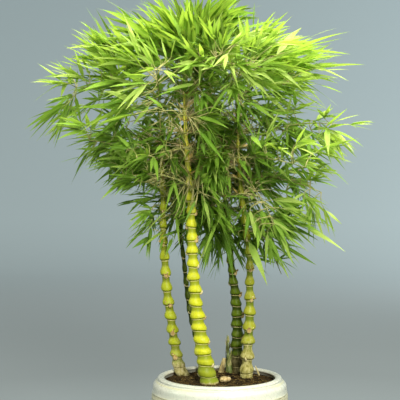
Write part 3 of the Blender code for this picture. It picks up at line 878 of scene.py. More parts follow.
@dataclass
class Cane:
    """A bamboo cane: bellied internodes on the frame's rings, with a ridge, a groove and a bud at every node."""

    name: str
    finish: CaneFinish
    bud_side: Turn
    barrels: float
    scaly_from_foot: float
    claws_from: float
    neck: float = 0.71
    sole: float = 0.78
    shoulder: float = 0.27
    tilt: float = 0.09
    lean: float = 0.05
    collar: float = 0.06
    sides: int = 30
    buried: float = 0.012
    girth: float = 1.0

    SHARES = np.array(
        (0, 0.012, 0.03, 0.055, 0.09, 0.13, 0.18, 0.24, 0.31, 0.38)
        + (0.46, 0.55, 0.64, 0.72, 0.80, 0.87, 0.91, 0.935, 0.955, 0.98)
    )
    BURIED_RINGS = 3
    LOW_WAIST = 0.86
    LOW_SHOULDER = 0.42
    TILT_TURN = 2.2
    CLAWS_EACH = 4
    ALL_SCARRED_FROM = 0.42
    SCARRED_TO = 0.70

    def __post_init__(self) -> None:
        """Reads the frame's rings: nodes and bellies take turns above the buried butt."""
        middles, radii = node_rings("culm_" + self.name)
        grown, thick = middles[self.BURIED_RINGS :], radii[self.BURIED_RINGS :] * self.girth
        self.nodes, self.bellies = grown[::2], thick[1::2]
        self.middles = middles
        self.top_radius = thick[-1]
        self.chance = np.random.default_rng(len(self.name) * 7)

    def axis(self, z: Array) -> Array:
        """The middle of the cane at the heights z."""
        flat = through(z, self.middles[:, 2], self.middles[:, :2])
        return np.column_stack([flat, z])

    def at(self, z: float) -> Array:
        """The middle of the cane at one height."""
        return self.axis(np.array([z]))[0]

    def radius(self, z: Array) -> Array:
        """The belly radius at the heights z."""
        return np.interp(z, self.nodes[:-1, 2], self.bellies)

    def bud_angle(self, index: Array) -> Array:
        """The angle of each node's bud: the buds take turns on two sides."""
        return self.bud_side.value + math.pi * (index % 2) + 0.30 * np.sin(index * 2.4)

    def outline(self, share: Array, index: Array) -> Array:
        """How thick the cane is, as a share of its belly.

        A quarter ellipse swells from the sole to the full width at the shoulder, which falls in a smooth flare to the
        neck at two thirds of the way. The low internodes are thicker discs, and a collar stands under each node.

        Args:
            share: How far up the internode, from 0 to 1.
            index: The internode's number from the foot.

        Returns:
            The thickness.
        """
        low = np.exp(-((index / self.barrels) ** 2))
        neck = self.neck + (self.LOW_WAIST - self.neck) * low
        sole = self.sole + (self.LOW_WAIST - self.sole) * low
        shoulder = self.shoulder + (self.LOW_SHOULDER - self.shoulder) * low
        rise = sole + (1 - sole) * np.sqrt(1 - (1 - np.clip(share / shoulder, 0, 1)) ** 2)
        fall = 1 - (1 - neck) * smoothstep(share, shoulder - 0.04, 0.70 + 0.16 * low)
        collar = self.collar * bump(share, 0.940, 0.030) - 0.06 * bump(share, 0.0, 0.022)
        return rise * fall + collar * (1 - 0.4 * low)

    def build(self) -> Surface:
        """The cane's skin.

        A point at angle a is axis + r * (cos a, sin a), where r is the belly radius times the outline, a little uneven
        and swollen under each bud. Each node's ring tilts, and turns on from the last.

        Returns:
            The closed surface, with the traits belly, ridge, groove, scaly, low and young.
        """
        count = len(self.bellies)
        index = np.repeat(np.arange(count), len(self.SHARES))
        share = np.tile(self.SHARES, count)
        start, end = self.nodes[:-1, 2], self.nodes[1:, 2]
        z = start[index] + share * (end - start)[index]
        belly = self.bellies[index]
        z = np.concatenate([[z[0] - self.buried, z[0] - 0.003], z, [end[-1], end[-1] + 0.004]])
        index = np.concatenate([[0, 0], index, [count, count]])
        share = np.concatenate([[0.1, 0.04], share, [0.0, 0.3]])
        belly = np.concatenate([belly[:1] * 0.9, belly[:1], belly, [self.top_radius, self.top_radius * 0.5]])
        middle = self.axis(z)
        a = np.arange(self.sides) * math.tau / self.sides
        lobes = 0.012 * np.sin(3 * a + index[:, None] * 1.7) + 0.010 * np.sin(2 * a - index[:, None])
        towards = np.cos(a - self.bud_angle(index)[:, None])
        swelling = 0.08 * smoothstep(towards, 0.45, 1.0) * bump(share, 0.10, 0.13)[:, None]
        lean = self.lean * np.sin(math.pi * share)[:, None] * towards
        r = belly[:, None] * (self.outline(share, index)[:, None] + lobes + swelling + lean)
        r[:1] *= 0.8
        lower = self.tilt * (1 - share[:, None]) * np.cos(a - self.TILT_TURN * index[:, None] - self.bud_side.value)
        upper = self.tilt * share[:, None] * np.cos(a - self.TILT_TURN * (index + 1)[:, None] - self.bud_side.value)
        rings = middle[:, None] + np.stack([r * np.cos(a), r * np.sin(a), r * (lower + upper)], -1)
        swollen = smoothstep(share, 0.0, 0.18) * (1 - smoothstep(share, 0.36, 0.80))
        low_groove = bump(share, 0.18, 0.035) * np.exp(-((index / 1.6) ** 2))
        traits = {
            "belly": swollen * (1 - 0.45 * np.exp(-((index / 2.2) ** 2))),
            "ridge": bump(share, 0.940, 0.032),
            "groove": np.maximum.reduce([bump(share, 0.0, 0.034), 0.8 * bump(share, 1.0, 0.018), 0.8 * low_groove]),
            "scaly": smoothstep(-z, -self.nodes[0, 2] - self.scaly_from_foot, -self.nodes[0, 2]),
            "low": 1 - smoothstep(z - self.nodes[0, 2], 0.012, 0.062),
            "young": smoothstep(z, 0.36, 0.62),
        }
        foot, head = middle[:1] - 0.002 * UP, middle[-1:] + self.top_radius * UP
        return skins(rings[None], foot, head, {name: values[None] for name, values in traits.items()})

    def buds(self) -> Surface:
        """The resting buds: small ovals that lie against the cane just above each node.

        Returns:
            One surface.
        """
        index = np.arange(1, len(self.bellies))
        r = self.bellies[index]
        out = level_ways(self.bud_angle(index))
        size = np.clip(r * self.chance.uniform(0.24, 0.42, len(index)), 0.0007, 0.0028)
        lift = np.array((-0.9, -0.3, 0.4, 1.1, 1.8))[None, :, None] * size[:, None, None] * UP
        stand = np.array((0.66, 0.86, 0.99, 1.07, 1.05))[None, :, None] * (r[:, None] * out)[:, None]
        paths = self.nodes[index][:, None] + lift + stand
        radii = size[:, None] * np.array((0.50, 0.85, 0.80, 0.50, 0.10))
        return tubes(paths, radii, 8, 0.85, tone=self.chance.uniform(0.5, 1.2, len(index)))

    def claws(self) -> Surface:
        """The marks of shed branches: broken cones fanned about oval scars, at every second low node and all above.

        Returns:
            One surface.
        """
        index = np.arange(1, len(self.bellies))
        height = self.nodes[index, 2]
        often = (index % 2 == 0) | (height > self.ALL_SCARRED_FROM)
        scarred = index[(height > self.claws_from) & often & (height < self.SCARRED_TO)]
        index = np.repeat(scarred, self.CLAWS_EACH)
        count = len(index)
        out = level_ways(self.bud_angle(index) + self.chance.normal(0, 0.42, count))
        way = unit(out * self.chance.uniform(0.5, 1.3, (count, 1)) + UP * self.chance.uniform(-0.1, 1.1, (count, 1)))
        length = self.chance.uniform(0.0025, 0.0085, count)
        base = self.nodes[index] + out * self.bellies[index, None] * 0.62
        base = base + UP * self.chance.uniform(0.0, 0.004, (count, 1))
        t = np.array((0.0, 0.3, 0.65, 0.92, 1.0))
        paths = base[:, None] + way[:, None] * (length[:, None] * t)[..., None]
        paths += 0.0006 * np.stack([ripple(paths, 0.004, seed) for seed in (4, 5, 6)], -1) * t[:, None]
        thick = np.clip(self.bellies[index] * self.chance.uniform(0.12, 0.24, count), 0.0006, 0.0020)
        radii = thick[:, None] * np.array((1.25, 1.0, 0.85, 0.80, 0.35))
        stubs = tubes(paths, radii, 6, 0.8, tone=self.chance.uniform(0.0, 1.0, count))
        return Surface.joined([stubs, self.scars(scarred)])

    def scars(self, index: Array) -> Surface:
        """The oval scars of shed branches: low knobbly bosses, half as wide as the cane, with a sunken middle.

        Args:
            index: The nodes that have one.

        Returns:
            One surface.
        """
        r = self.bellies[index]
        out = level_ways(self.bud_angle(index))
        size = r * self.chance.uniform(0.44, 0.60, len(index))
        stand = np.array((0.50, 0.78, 0.93, 1.02, 1.05, 1.00))[None, :, None] * (r[:, None] * out)[:, None]
        lift = np.array((0.10, 0.12, 0.16, 0.20, 0.22, 0.22))[None, :, None] * r[:, None, None] * UP
        paths = self.nodes[index][:, None] + stand + lift
        radii = size[:, None] * np.array((1.1, 1.08, 1.0, 0.82, 0.62, 0.35))
        tone = np.array((0.9, 1.0, 0.95, 0.7, 0.25, 0.0)) * self.chance.uniform(0.6, 1.0, (len(index), 1))
        made = tubes(paths, radii, 14, 0.62, tone=tone)
        made.points += 0.0005 * ripple(made.points, 0.0042, 9)[:, None]
        return made

    def make(self) -> None:
        """Places the cane, its buds and its branch stubs."""
        node = "culm_" + self.name
        place_piece("cane_" + self.name, self.build(), self.finish.make(), node, node)
        place_piece("buds_" + self.name, self.buds(), FINISHES["bud"], "dry_husk")
        place_piece("claws_" + self.name, self.claws(), FINISHES["claw"], "dry_husk")


def spread_ways(count: int, lowest: float, highest: float) -> Array:
    """Directions spread evenly over the sphere between two heights, on a spiral of golden-angle steps.

    Args:
        count: How many.
        lowest: The height of the lowest, from -1 to 1.
        highest: The height of the highest.

    Returns:
        Rows of length one.
    """
    k = np.arange(count)
    z = highest - (highest - lowest) * (k + 0.5) / count
    turn = k * math.pi * (3 - math.sqrt(5))
    flat = np.sqrt(1 - z**2)
    return np.column_stack([flat * np.cos(turn), flat * np.sin(turn), z])


@dataclass
class Crown:
    """The space that the leaves fill: a flat dome on a bowl, further out on one side at some heights."""

    low: Array
    high: Array
    canes: list[Cane]

    BARE_TOPS = (0.540, 0.64, 0.555)
    BARE_HALF = 0.015
    BARE_CHECKS = (0.0, 0.15, 0.3, 0.45, 0.6, 0.8, 1.0)
    EYE = (-0.034, -1.668)
    HEIGHTS = np.array((0.34, 0.40, 0.46, 0.52, 0.56, 0.60, 0.65, 0.70, 0.73, 0.76, 0.79, 0.815, 0.84))
    LEFT = np.array((0.105, 0.145, 0.104, 0.222, 0.278, 0.352, 0.396, 0.330, 0.276, 0.268, 0.232, 0.194, 0.150))
    RIGHT = np.array((0.180, 0.282, 0.240, 0.290, 0.345, 0.310, 0.208, 0.260, 0.312, 0.240, 0.178, 0.132, 0.094))
    AXIS_X = -0.031
    CORE_Z = 0.61
    TOP_Z = 0.846
    FLOORS = (0.405, 0.345, 0.328, 0.368)
    HOLLOW = 0.045
    REACH = 0.42
    MARCH = 72
    FLOW_HEIGHTS = (0.36, 0.44, 0.52, 0.60, 0.67, 0.73, 0.79)
    FLOW_LIFTS = (-0.80, -0.50, -0.32, -0.13, 0.04, 0.24, 0.60)
    LAYERS = (
        (126, -0.8, 1.0, 0.84, 1.03),
        (36, -0.8, 1.0, 0.45, 0.82),
        (36, 0.40, 1.0, 0.92, 1.08),
        (100, -0.98, -0.30, 0.62, 1.0),
        (56, -0.88, -0.54, 0.84, 1.02),
    )
    # Painted shade: a darker patch of leaves near the top, as x, z, radius and amount.
    PAINTED_SHADE = (-0.032, 0.757, 0.045, 0.34)
    SPRAY = 3
    PAST_SHELL = 0.06
    PAST_CHANCE = 0.12
    TANGLES = np.array(((-0.102, 0.605, 0.052), (-0.090, 0.705, 0.028), (0.010, 0.575, 0.026), (0.075, 0.500, 0.030)))
    WINDOW = np.array((-0.025, 0.555, 0.150, 0.120))
    WINDOW_BACK = 0.055
    LARGE_LEAF = 0.052
    OPENED_SHARE = 0.86
    STRAY_SHARE = 0.04

    def __post_init__(self) -> None:
        """Takes the crown's depth from the frame's box."""
        self.axis_y = (self.low[1] + self.high[1]) / 2
        self.depth = (self.high[1] - self.low[1]) / 2
        self.core = np.array((self.AXIS_X, self.axis_y, self.CORE_Z))

    def share(self, places: Array) -> Array:
        """How far out each place is: 0 on the axis, and 1 where the crown ends at that height and side.

        Args:
            places: The places, with x, y and z last.

        Returns:
            One value for each place.
        """
        x, y, z = places[..., 0] - self.AXIS_X, places[..., 1] - self.axis_y, places[..., 2]
        left, right = np.interp(z, self.HEIGHTS, self.LEFT), np.interp(z, self.HEIGHTS, self.RIGHT)
        across = np.where(x < 0, left, right)
        deep = self.depth * (left + right) / (self.LEFT.max() + self.RIGHT.max())
        return np.hypot(x / across, y / deep)

    def floor(self, places: Array) -> Array:
        """The crown's lower end at each place: highest in front, and hollow about the canes.

        Args:
            places: The places.

        Returns:
            The height of the lowest leaf at each place.
        """
        x, y = places[..., 0] - self.AXIS_X, places[..., 1] - self.axis_y
        front, right, back, left = self.FLOORS
        out = np.hypot(x, y)
        c, s = x / np.maximum(out, 1e-6), y / np.maximum(out, 1e-6)
        edge = np.where(s < 0, front, back) * s**2 + np.where(c < 0, left, right) * c**2
        return edge + self.HOLLOW * (1 - smoothstep(out, 0.03, 0.11)) * smoothstep(-s, -0.4, 0.3)

    def contains(self, places: Array) -> Array:
        """Whether each place is in the crown."""
        z = places[..., 2]
        return (self.share(places) <= 1) & (z < self.TOP_Z) & (z > self.floor(places))

    def shell(self, ways: Array) -> Array:
        """The furthest place in the crown from its core along each way.

        Args:
            ways: Directions.

        Returns:
            One place for each direction.
        """
        steps = np.linspace(0, self.REACH, self.MARCH)
        rays = self.core + ways[:, None] * steps[:, None]
        last = np.where(self.contains(rays), steps, 0).max(axis=1)
        return self.core + ways * last[:, None]

    def flow(self, places: Array) -> Array:
        """The way that shoots grow: out, up at the top, level at the widest and hanging below.

        Args:
            places: The places.

        Returns:
            A direction for each place. Those that climb do so more steeply near the axis, and less at the edge.
        """
        out = places - self.core
        out[..., 2] = 0
        lift = np.interp(places[..., 2], self.FLOW_HEIGHTS, self.FLOW_LIFTS)
        share = self.share(places)
        near, edge = 1 - smoothstep(share, 0.15, 0.8), smoothstep(share, 0.6, 1.0)
        return unit(unit(out) + (lift * (1 + (2.5 * near - 0.45 * edge) * (lift > 0)))[..., None] * UP)

    def tone(self, places: Array, chance: Chance) -> Array:
        """Leaf tones with painted light and shade: lime at top, edge and right; deep green inside, below and in a patch
        near the top.

        Args:
            places: The places.
            chance: Draws what each differs by.

        Returns:
            A tone for each place, from about 0 to 1.
        """
        edge = smoothstep(self.share(places), 0.40, 1.0)
        height = smoothstep(places[..., 2], 0.42, 0.76)
        side = np.clip((places[..., 0] - self.AXIS_X) / 0.24, -1, 1)
        # Painted light and shade: paler up high and at the edge.
        value = 0.27 + 0.12 * (1 - height) + 0.28 * edge * (0.5 + 0.5 * height)
        value = value + 0.46 * height**1.5 * (0.45 + 0.55 * edge)
        # Painted light: paler at the right-hand edge, most low down; darker at the left-hand edge up high.
        value = value + side * edge * np.where(side > 0, 0.40 - 0.30 * height, 0.14 * height)
        # Painted shade: a darker patch near the top.
        x, z, radius, amount = self.PAINTED_SHADE
        value = value - amount * bump(np.hypot(places[..., 0] - x, places[..., 2] - z), 0.0, radius)
        return value + chance.normal(0.0, 0.19, places.shape[:-1])

    def opened(self, blades: Blades, chance: Chance) -> Blades:
        """Thins the blades out before the front canes' bare parts and before tangles of dead twigs.

        Large blades also go from the open middle, which keeps its small ones.

        Args:
            blades: The blades.
            chance: Draws which of them stay.

        Returns:
            The blades that stay.
        """
        middle = (blades.base + blades.tips()) / 2
        gap = np.linalg.norm(middle[:, None, ::2] - self.TANGLES[:, :2], axis=2)
        within = np.linalg.norm((middle[:, ::2] - self.WINDOW[:2]) / self.WINDOW[2:], axis=1)
        large = (within < chance.uniform(0.75, 1.15, len(gap))) & (blades.length > self.LARGE_LEAF)
        tangled = (gap < self.TANGLES[:, 2]).any(axis=1) & (middle[:, 1] < 0.0)
        hiding = tangled | (large & (middle[:, 1] < self.WINDOW_BACK))
        hiding &= chance.uniform(0, 1, len(gap)) < self.OPENED_SHARE
        for cane, top in zip(self.canes, self.BARE_TOPS):
            for share in self.BARE_CHECKS:
                place = blades.base + (blades.tips() - blades.base) * share
                axis = cane.axis(np.clip(place[:, 2], cane.nodes[0, 2], top))
                sight = (place[:, 0] - self.EYE[0]) * (axis[:, 1] - self.EYE[1]) / (place[:, 1] - self.EYE[1])
                beside = np.abs(sight + self.EYE[0] - axis[:, 0]) < self.BARE_HALF
                hiding |= beside & (place[:, 1] < axis[:, 1]) & (place[:, 2] < top)
        return blades.picked(~hiding | (chance.uniform(0, 1, len(hiding)) < self.STRAY_SHARE))


@dataclass
class Shoots:
    """Leafy shoots: twigs with leaves in two rows along their outer half and one at the tip."""

    paths: Array
    leaf: Array
    chance: Chance
    most: int = 7
    fewest: int = 4
    droop: float = 0.12
    open_angle: float = math.radians(46)
    shut_angle: float = math.radians(7)
    wide: float = 0.0088
    first: float = 0.42

    THICK = 0.0008
    THIN = 0.0004
    PALE_SHARE = 0.05
    PALER = 0.22

    def blades(self, crown: Crown) -> Blades:
        """The shoots' leaves.

        Leaf k of n leaves its twig at first + (1 - first) * k / (n - 1) of its length, to alternate sides, at an angle
        that falls from open_angle to shut_angle.

        Args:
            crown: Sets their tones.

        Returns:
            One blade for each leaf.
        """
        count, stops = self.paths.shape[:2]
        rank = np.arange(self.most)
        share = self.first + (1 - self.first) * rank / (self.most - 1)
        place = share * (stops - 1)
        low = np.minimum(place.astype(int), stops - 2)
        rest = (place - low)[None, :, None]
        base = self.paths[:, low] * (1 - rest) + self.paths[:, low + 1] * rest
        along = unit(self.paths[:, low + 1] - self.paths[:, low])
        roll = self.chance.normal(0.0, 0.6, (count, 1, 1))
        level = unit(np.cross(along, UP) + (0.02, 0.0, 0.0))
        lifted = np.cross(level, along)
        side = level * np.cos(roll) + lifted * np.sin(roll)
        normal = np.cross(side, along)
        hand = np.where(rank % 2, 1.0, -1.0) * self.chance.choice((-1.0, 1.0), (count, 1))
        angle = self.open_angle + (self.shut_angle - self.open_angle) * (rank / (self.most - 1)) ** 0.8
        angle = angle * self.chance.uniform(0.4, 1.6, (count, self.most))
        angle[:, -1] *= 0.3
        sway = self.chance.normal(0.04, 0.28, (count, self.most, 1))
        way = unit(along * np.cos(angle)[..., None] + side * (hand * np.sin(angle))[..., None] + normal * sway)
        face = unit(normal + 0.30 * UP + self.chance.normal(0.0, 0.50, way.shape))
        length = self.leaf[:, None] * (0.70 + 0.32 * np.sin(math.pi * (0.12 + 0.74 * rank / (self.most - 1))))
        length = length * self.chance.uniform(0.84, 1.14, (count, self.most))
        width = self.wide * (length / 0.08) ** 0.6 * self.chance.uniform(0.82, 1.2, length.shape)
        droop = self.droop * self.chance.uniform(0.2, 1.9, length.shape)
        twist = self.chance.normal(0.0, 0.45, length.shape)
        keep = rank[None] >= self.chance.integers(0, self.most - self.fewest + 1, (count, 1))
        fresh = self.chance.normal(0.0, 0.07, (count, 1))
        fresh = fresh + self.PALER * (self.chance.uniform(0, 1, (count, 1)) < self.PALE_SHARE)
        tone = crown.tone(base + way * length[..., None] * 0.6, self.chance) + fresh
        return Blades(base, way, face, length, width, droop, twist, np.clip(tone, 0, 1)).picked(keep)

    def twigs(self, tone: float) -> Surface:
        """The shoots' thin tapering stems, all of one tone."""
        radii = np.broadcast_to(np.linspace(self.THICK, self.THIN, self.paths.shape[1]), self.paths.shape[:2])
        return tubes(self.paths, radii, 4, tone=np.full(len(self.paths), tone))

    @staticmethod
    def reaching(starts: Array, tips: Array, crown: Crown, chance: Chance, **kind: float) -> Shoots:
        """Shoots whose last leaf ends about at the tips.

        A twig is a quadratic curve to where its last leaf begins, and ends the way the crown grows there.

        Args:
            starts: Where the twigs leave their branches.
            tips: Where their last leaves should end.
            crown: Gives the way of growth.
            chance: Draws the leaf lengths.
            kind: Other fields of the shoots.

        Returns:
            The shoots.
        """
        gap = np.linalg.norm(tips - starts, axis=1)
        leaf = np.clip(gap * chance.uniform(0.55, 0.82, len(gap)), 0.046, 0.100)
        flow = crown.flow(tips)
        ends = tips - unit(flow + 0.8 * unit(tips - starts)) * (leaf * 0.92)[:, None]
        reach = np.linalg.norm(ends - starts, axis=1)
        control = ends - unit(flow + 0.5 * unit(ends - starts)) * (reach * 0.45)[:, None]
        control[:, 2] += reach * 0.06
        return Shoots(curves(starts, control, ends, 7), leaf, chance, **kind)


@dataclass
class LeafyBranch:
    """A main branch: its arched stem, and the shoots that have grown from it."""

    node: str
    cane: Cane
    crown: Crown
    seed: int
    side_shoots: int = 6
    stem: float = 0.0016

    STOPS = 12
    STEM_SHARE = 0.72
    STEM_INSIDE = 0.90
    TIPS_INSIDE = 1.05
    ROOT_STOPS = 3

    def __post_init__(self) -> None:
        """Draws the stem, which arches from inside the cane most of the way to the frame branch's end."""
        self.chance = np.random.default_rng(self.seed)
        points = node_points(self.node)
        gap = np.linalg.norm(points[:, :2] - self.cane.axis(points[:, 2])[:, :2], axis=1)
        foot = points[np.argsort(gap)[:4]].mean(axis=0)
        out = points[np.argmax(np.linalg.norm(points - foot, axis=1))] - foot
        start = self.cane.at(foot[2])
        length = np.linalg.norm(out)
        end = foot + out * self.STEM_SHARE
        end[:2] += (self.crown.core[:2] - end[:2]) * (1 - min(self.STEM_INSIDE / self.crown.share(end), 1.0))
        self.path = arches(start[None], end[None], np.array([0.16 * length]), self.STOPS)[0]
        self.tips = self.starts = np.zeros((0, 3))

    def own_shoots(self) -> Shoots:
        """Short shoots all along the stem, to alternate sides, whose tips stay in the crown or close to it.

        Returns:
            The shoots.
        """
        count = self.side_shoots
        place = np.linspace(0.22, 0.92, count) * (self.STOPS - 1)
        low = place.astype(int)
        base = self.path[low] + (self.path[low + 1] - self.path[low]) * (place - low)[:, None]
        along = unit(self.path[low + 1] - self.path[low])
        level = unit(np.cross(along, UP))
        hand = np.where(np.arange(count) % 2, 1.0, -1.0)[:, None]
        way = along + level * hand * self.chance.uniform(0.5, 1.5, (count, 1))
        way = unit(way + UP * self.chance.normal(0.1, 0.6, (count, 1)))
        tips = base + way * self.chance.uniform(0.060, 0.105, (count, 1))
        tips[:, 2] = np.maximum(tips[:, 2], self.crown.floor(tips))
        outside = 1 - np.minimum(self.TIPS_INSIDE / self.crown.share(tips), 1.0)[:, None]
        tips[:, :2] += (self.crown.core[:2] - tips[:, :2]) * outside
        return Shoots.reaching(base, tips, self.crown, self.chance, wide=0.0070)

    def make(self) -> None:
        """Places the branch's wood and its leaves."""
        shoots = [self.own_shoots()]
        if len(self.tips):
            shoots.append(Shoots.reaching(self.starts, self.tips, self.crown, self.chance))
        blades = Blades.joined([s.blades(self.crown) for s in shoots])
        blades = self.crown.opened(blades, self.chance).kept_inside(self.crown.low, self.crown.high)
        radii = np.linspace(self.stem, self.stem * 0.4, self.STOPS)[None]
        wood = [tubes(self.path[None], radii, 7, tone=np.array([0.35])), *(s.twigs(0.6) for s in shoots)]
        name = self.node.removeprefix("branch_")
        place_piece("leaves_" + name, blades.surface(), FINISHES["leaf"], "foliage", self.node)
        place_piece("twigs_" + name, Surface.joined(wood), FINISHES["twig"], "foliage", self.node)


def share_out(branches: list[LeafyBranch], crown: Crown) -> None:
    """Gives every part of the crown a shoot from the branch that reaches it best.

    Each layer spreads sprays of three tips evenly over a range of heights and of depths from the core to the shell,
    and a few in the upper half reach past it. Each tip goes to the stem point with the least distance * (1.5 - the
    cosine of the angle to the way of growth).

    Args:
        branches: The branches, which are given starts and tips.
        crown: The crown.
    """
    chance = np.random.default_rng(11)
    skipped = LeafyBranch.ROOT_STOPS
    ways = np.concatenate([spread_ways(count, low, high) for count, low, high, _, _ in crown.LAYERS])
    depth = np.concatenate([chance.uniform(near, far, count) for count, _, _, near, far in crown.LAYERS])
    depth += crown.PAST_SHELL * (chance.uniform(0, 1, len(depth)) < crown.PAST_CHANCE) * (ways[:, 2] > 0)
    ways = np.repeat(unit(ways + chance.normal(0, 0.04, ways.shape)), crown.SPRAY, axis=0)
    ways = unit(ways + chance.normal(0, 0.105, ways.shape))
    depth = np.repeat(depth, crown.SPRAY) * chance.uniform(0.90, 1.02, len(ways))
    tips = crown.core + (crown.shell(ways) - crown.core) * depth[:, None]
    stems = np.concatenate([b.path[skipped:] for b in branches])
    owner = np.repeat(np.arange(len(branches)), [len(b.path) - skipped for b in branches])
    gap = tips[:, None] - stems
    match = (unit(gap) * crown.flow(tips)[:, None]).sum(axis=2)
    best = (np.maximum(np.linalg.norm(gap, axis=2), 0.05) * (1.5 - match)).argmin(axis=1)
    for k, branch in enumerate(branches):
        mine = owner[best] == k
        branch.tips, branch.starts = tips[mine], stems[best[mine]]


@dataclass(frozen=True)
class Spray:
    """Shoots from one place that stand out of the crown: where their last leaves end, and what the leaves are like."""

    tips: tuple[Colour, ...]
    most: int = 2
    fewest: int = 1
    wide: float = 0.0110
    paler: float = 0.12


@dataclass
class Sprays:
    """The few large young leaves that stand out of the crown in sprays of their own, mostly at its sides."""

    crown: Crown

    LOW_RIGHT = Spray(
        ((0.236, -0.02, 0.384), (0.160, -0.05, 0.352), (0.192, 0.02, 0.398))
        + ((0.095, -0.06, 0.350), (0.128, 0.03, 0.372), (0.068, -0.06, 0.362))
    )
    LOW_LEFT = Spray(
        ((-0.170, 0.00, 0.398), (-0.160, 0.03, 0.386), (-0.142, -0.02, 0.390))
        + ((-0.108, 0.02, 0.372), (-0.122, -0.03, 0.384))
    )
    MID_LEFT = Spray(
        ((-0.228, 0.00, 0.492), (-0.212, -0.03, 0.502), (-0.240, 0.02, 0.518))
        + ((-0.232, -0.01, 0.540), (-0.196, 0.02, 0.484)),
        most=4, fewest=2, wide=0.0090, paler=-0.02,
    )
    HIGH_LEFT = Spray(((-0.258, -0.01, 0.775), (-0.250, 0.02, 0.762), (-0.240, -0.03, 0.752)), most=3, fewest=2)
    HIGH_RIGHT = Spray(
        ((0.249, -0.03, 0.717), (0.236, 0.01, 0.708), (0.214, -0.02, 0.738))
        + ((0.212, -0.04, 0.684), (0.226, 0.02, 0.694)),
        most=3, fewest=2,
    )
    TOP = Spray(((-0.205, 0.02, 0.822), (-0.188, -0.02, 0.812)))
    BACK = Spray(
        ((-0.030, 0.06, 0.352), (-0.012, 0.08, 0.345), (0.006, 0.06, 0.350), (0.024, 0.05, 0.342))
        + ((0.040, 0.07, 0.356), (0.058, 0.06, 0.350), (-0.052, 0.07, 0.366), (0.014, 0.04, 0.378))
        + ((0.034, 0.09, 0.372), (0.076, 0.05, 0.362)),
        most=5, fewest=3, wide=0.0085, paler=-0.06,
    )
    PALEST = 0.9
    UPPER_LEFT = np.array((-0.150, 0.0, 0.735))
    UPPER_RIGHT = np.array((0.110, -0.01, 0.672))

    def make(self, canes: dict[str, Cane]) -> None:
        """Places the sprays, which start at nodes of the canes or inside the crown's top.

        Args:
            canes: The canes that the lower sprays grow on.
        """
        chance = np.random.default_rng(61)
        roots = (
            (self.LOW_RIGHT, canes["right"].at(0.418)),
            (self.LOW_LEFT, canes["left"].at(0.408)),
            (self.MID_LEFT, canes["left"].at(0.545)),
            (self.HIGH_LEFT, self.UPPER_LEFT),
            (self.HIGH_RIGHT, self.UPPER_RIGHT),
            (self.TOP, self.UPPER_LEFT),
            (self.BACK, canes["back_right"].at(0.440)),
        )
        parts, wood = [], []
        for spray, root in roots:
            tips = np.array(spray.tips)
            starts = np.tile(root, (len(tips), 1))
            kind = {"most": spray.most, "fewest": spray.fewest, "wide": spray.wide}
            shoots = Shoots.reaching(starts, tips, self.crown, chance, **kind)
            blades = shoots.blades(self.crown)
            parts.append(replace(blades, tone=np.clip(blades.tone + spray.paler, 0.0, self.PALEST)))
            wood.append(shoots.twigs(0.6))
        leaves = Blades.joined(parts).kept_inside(self.crown.low, self.crown.high)
        place_piece("spray_leaves", leaves.surface(), FINISHES["leaf"], "foliage")
        place_piece("spray_twigs", Surface.joined(wood), FINISHES["twig"], "foliage")


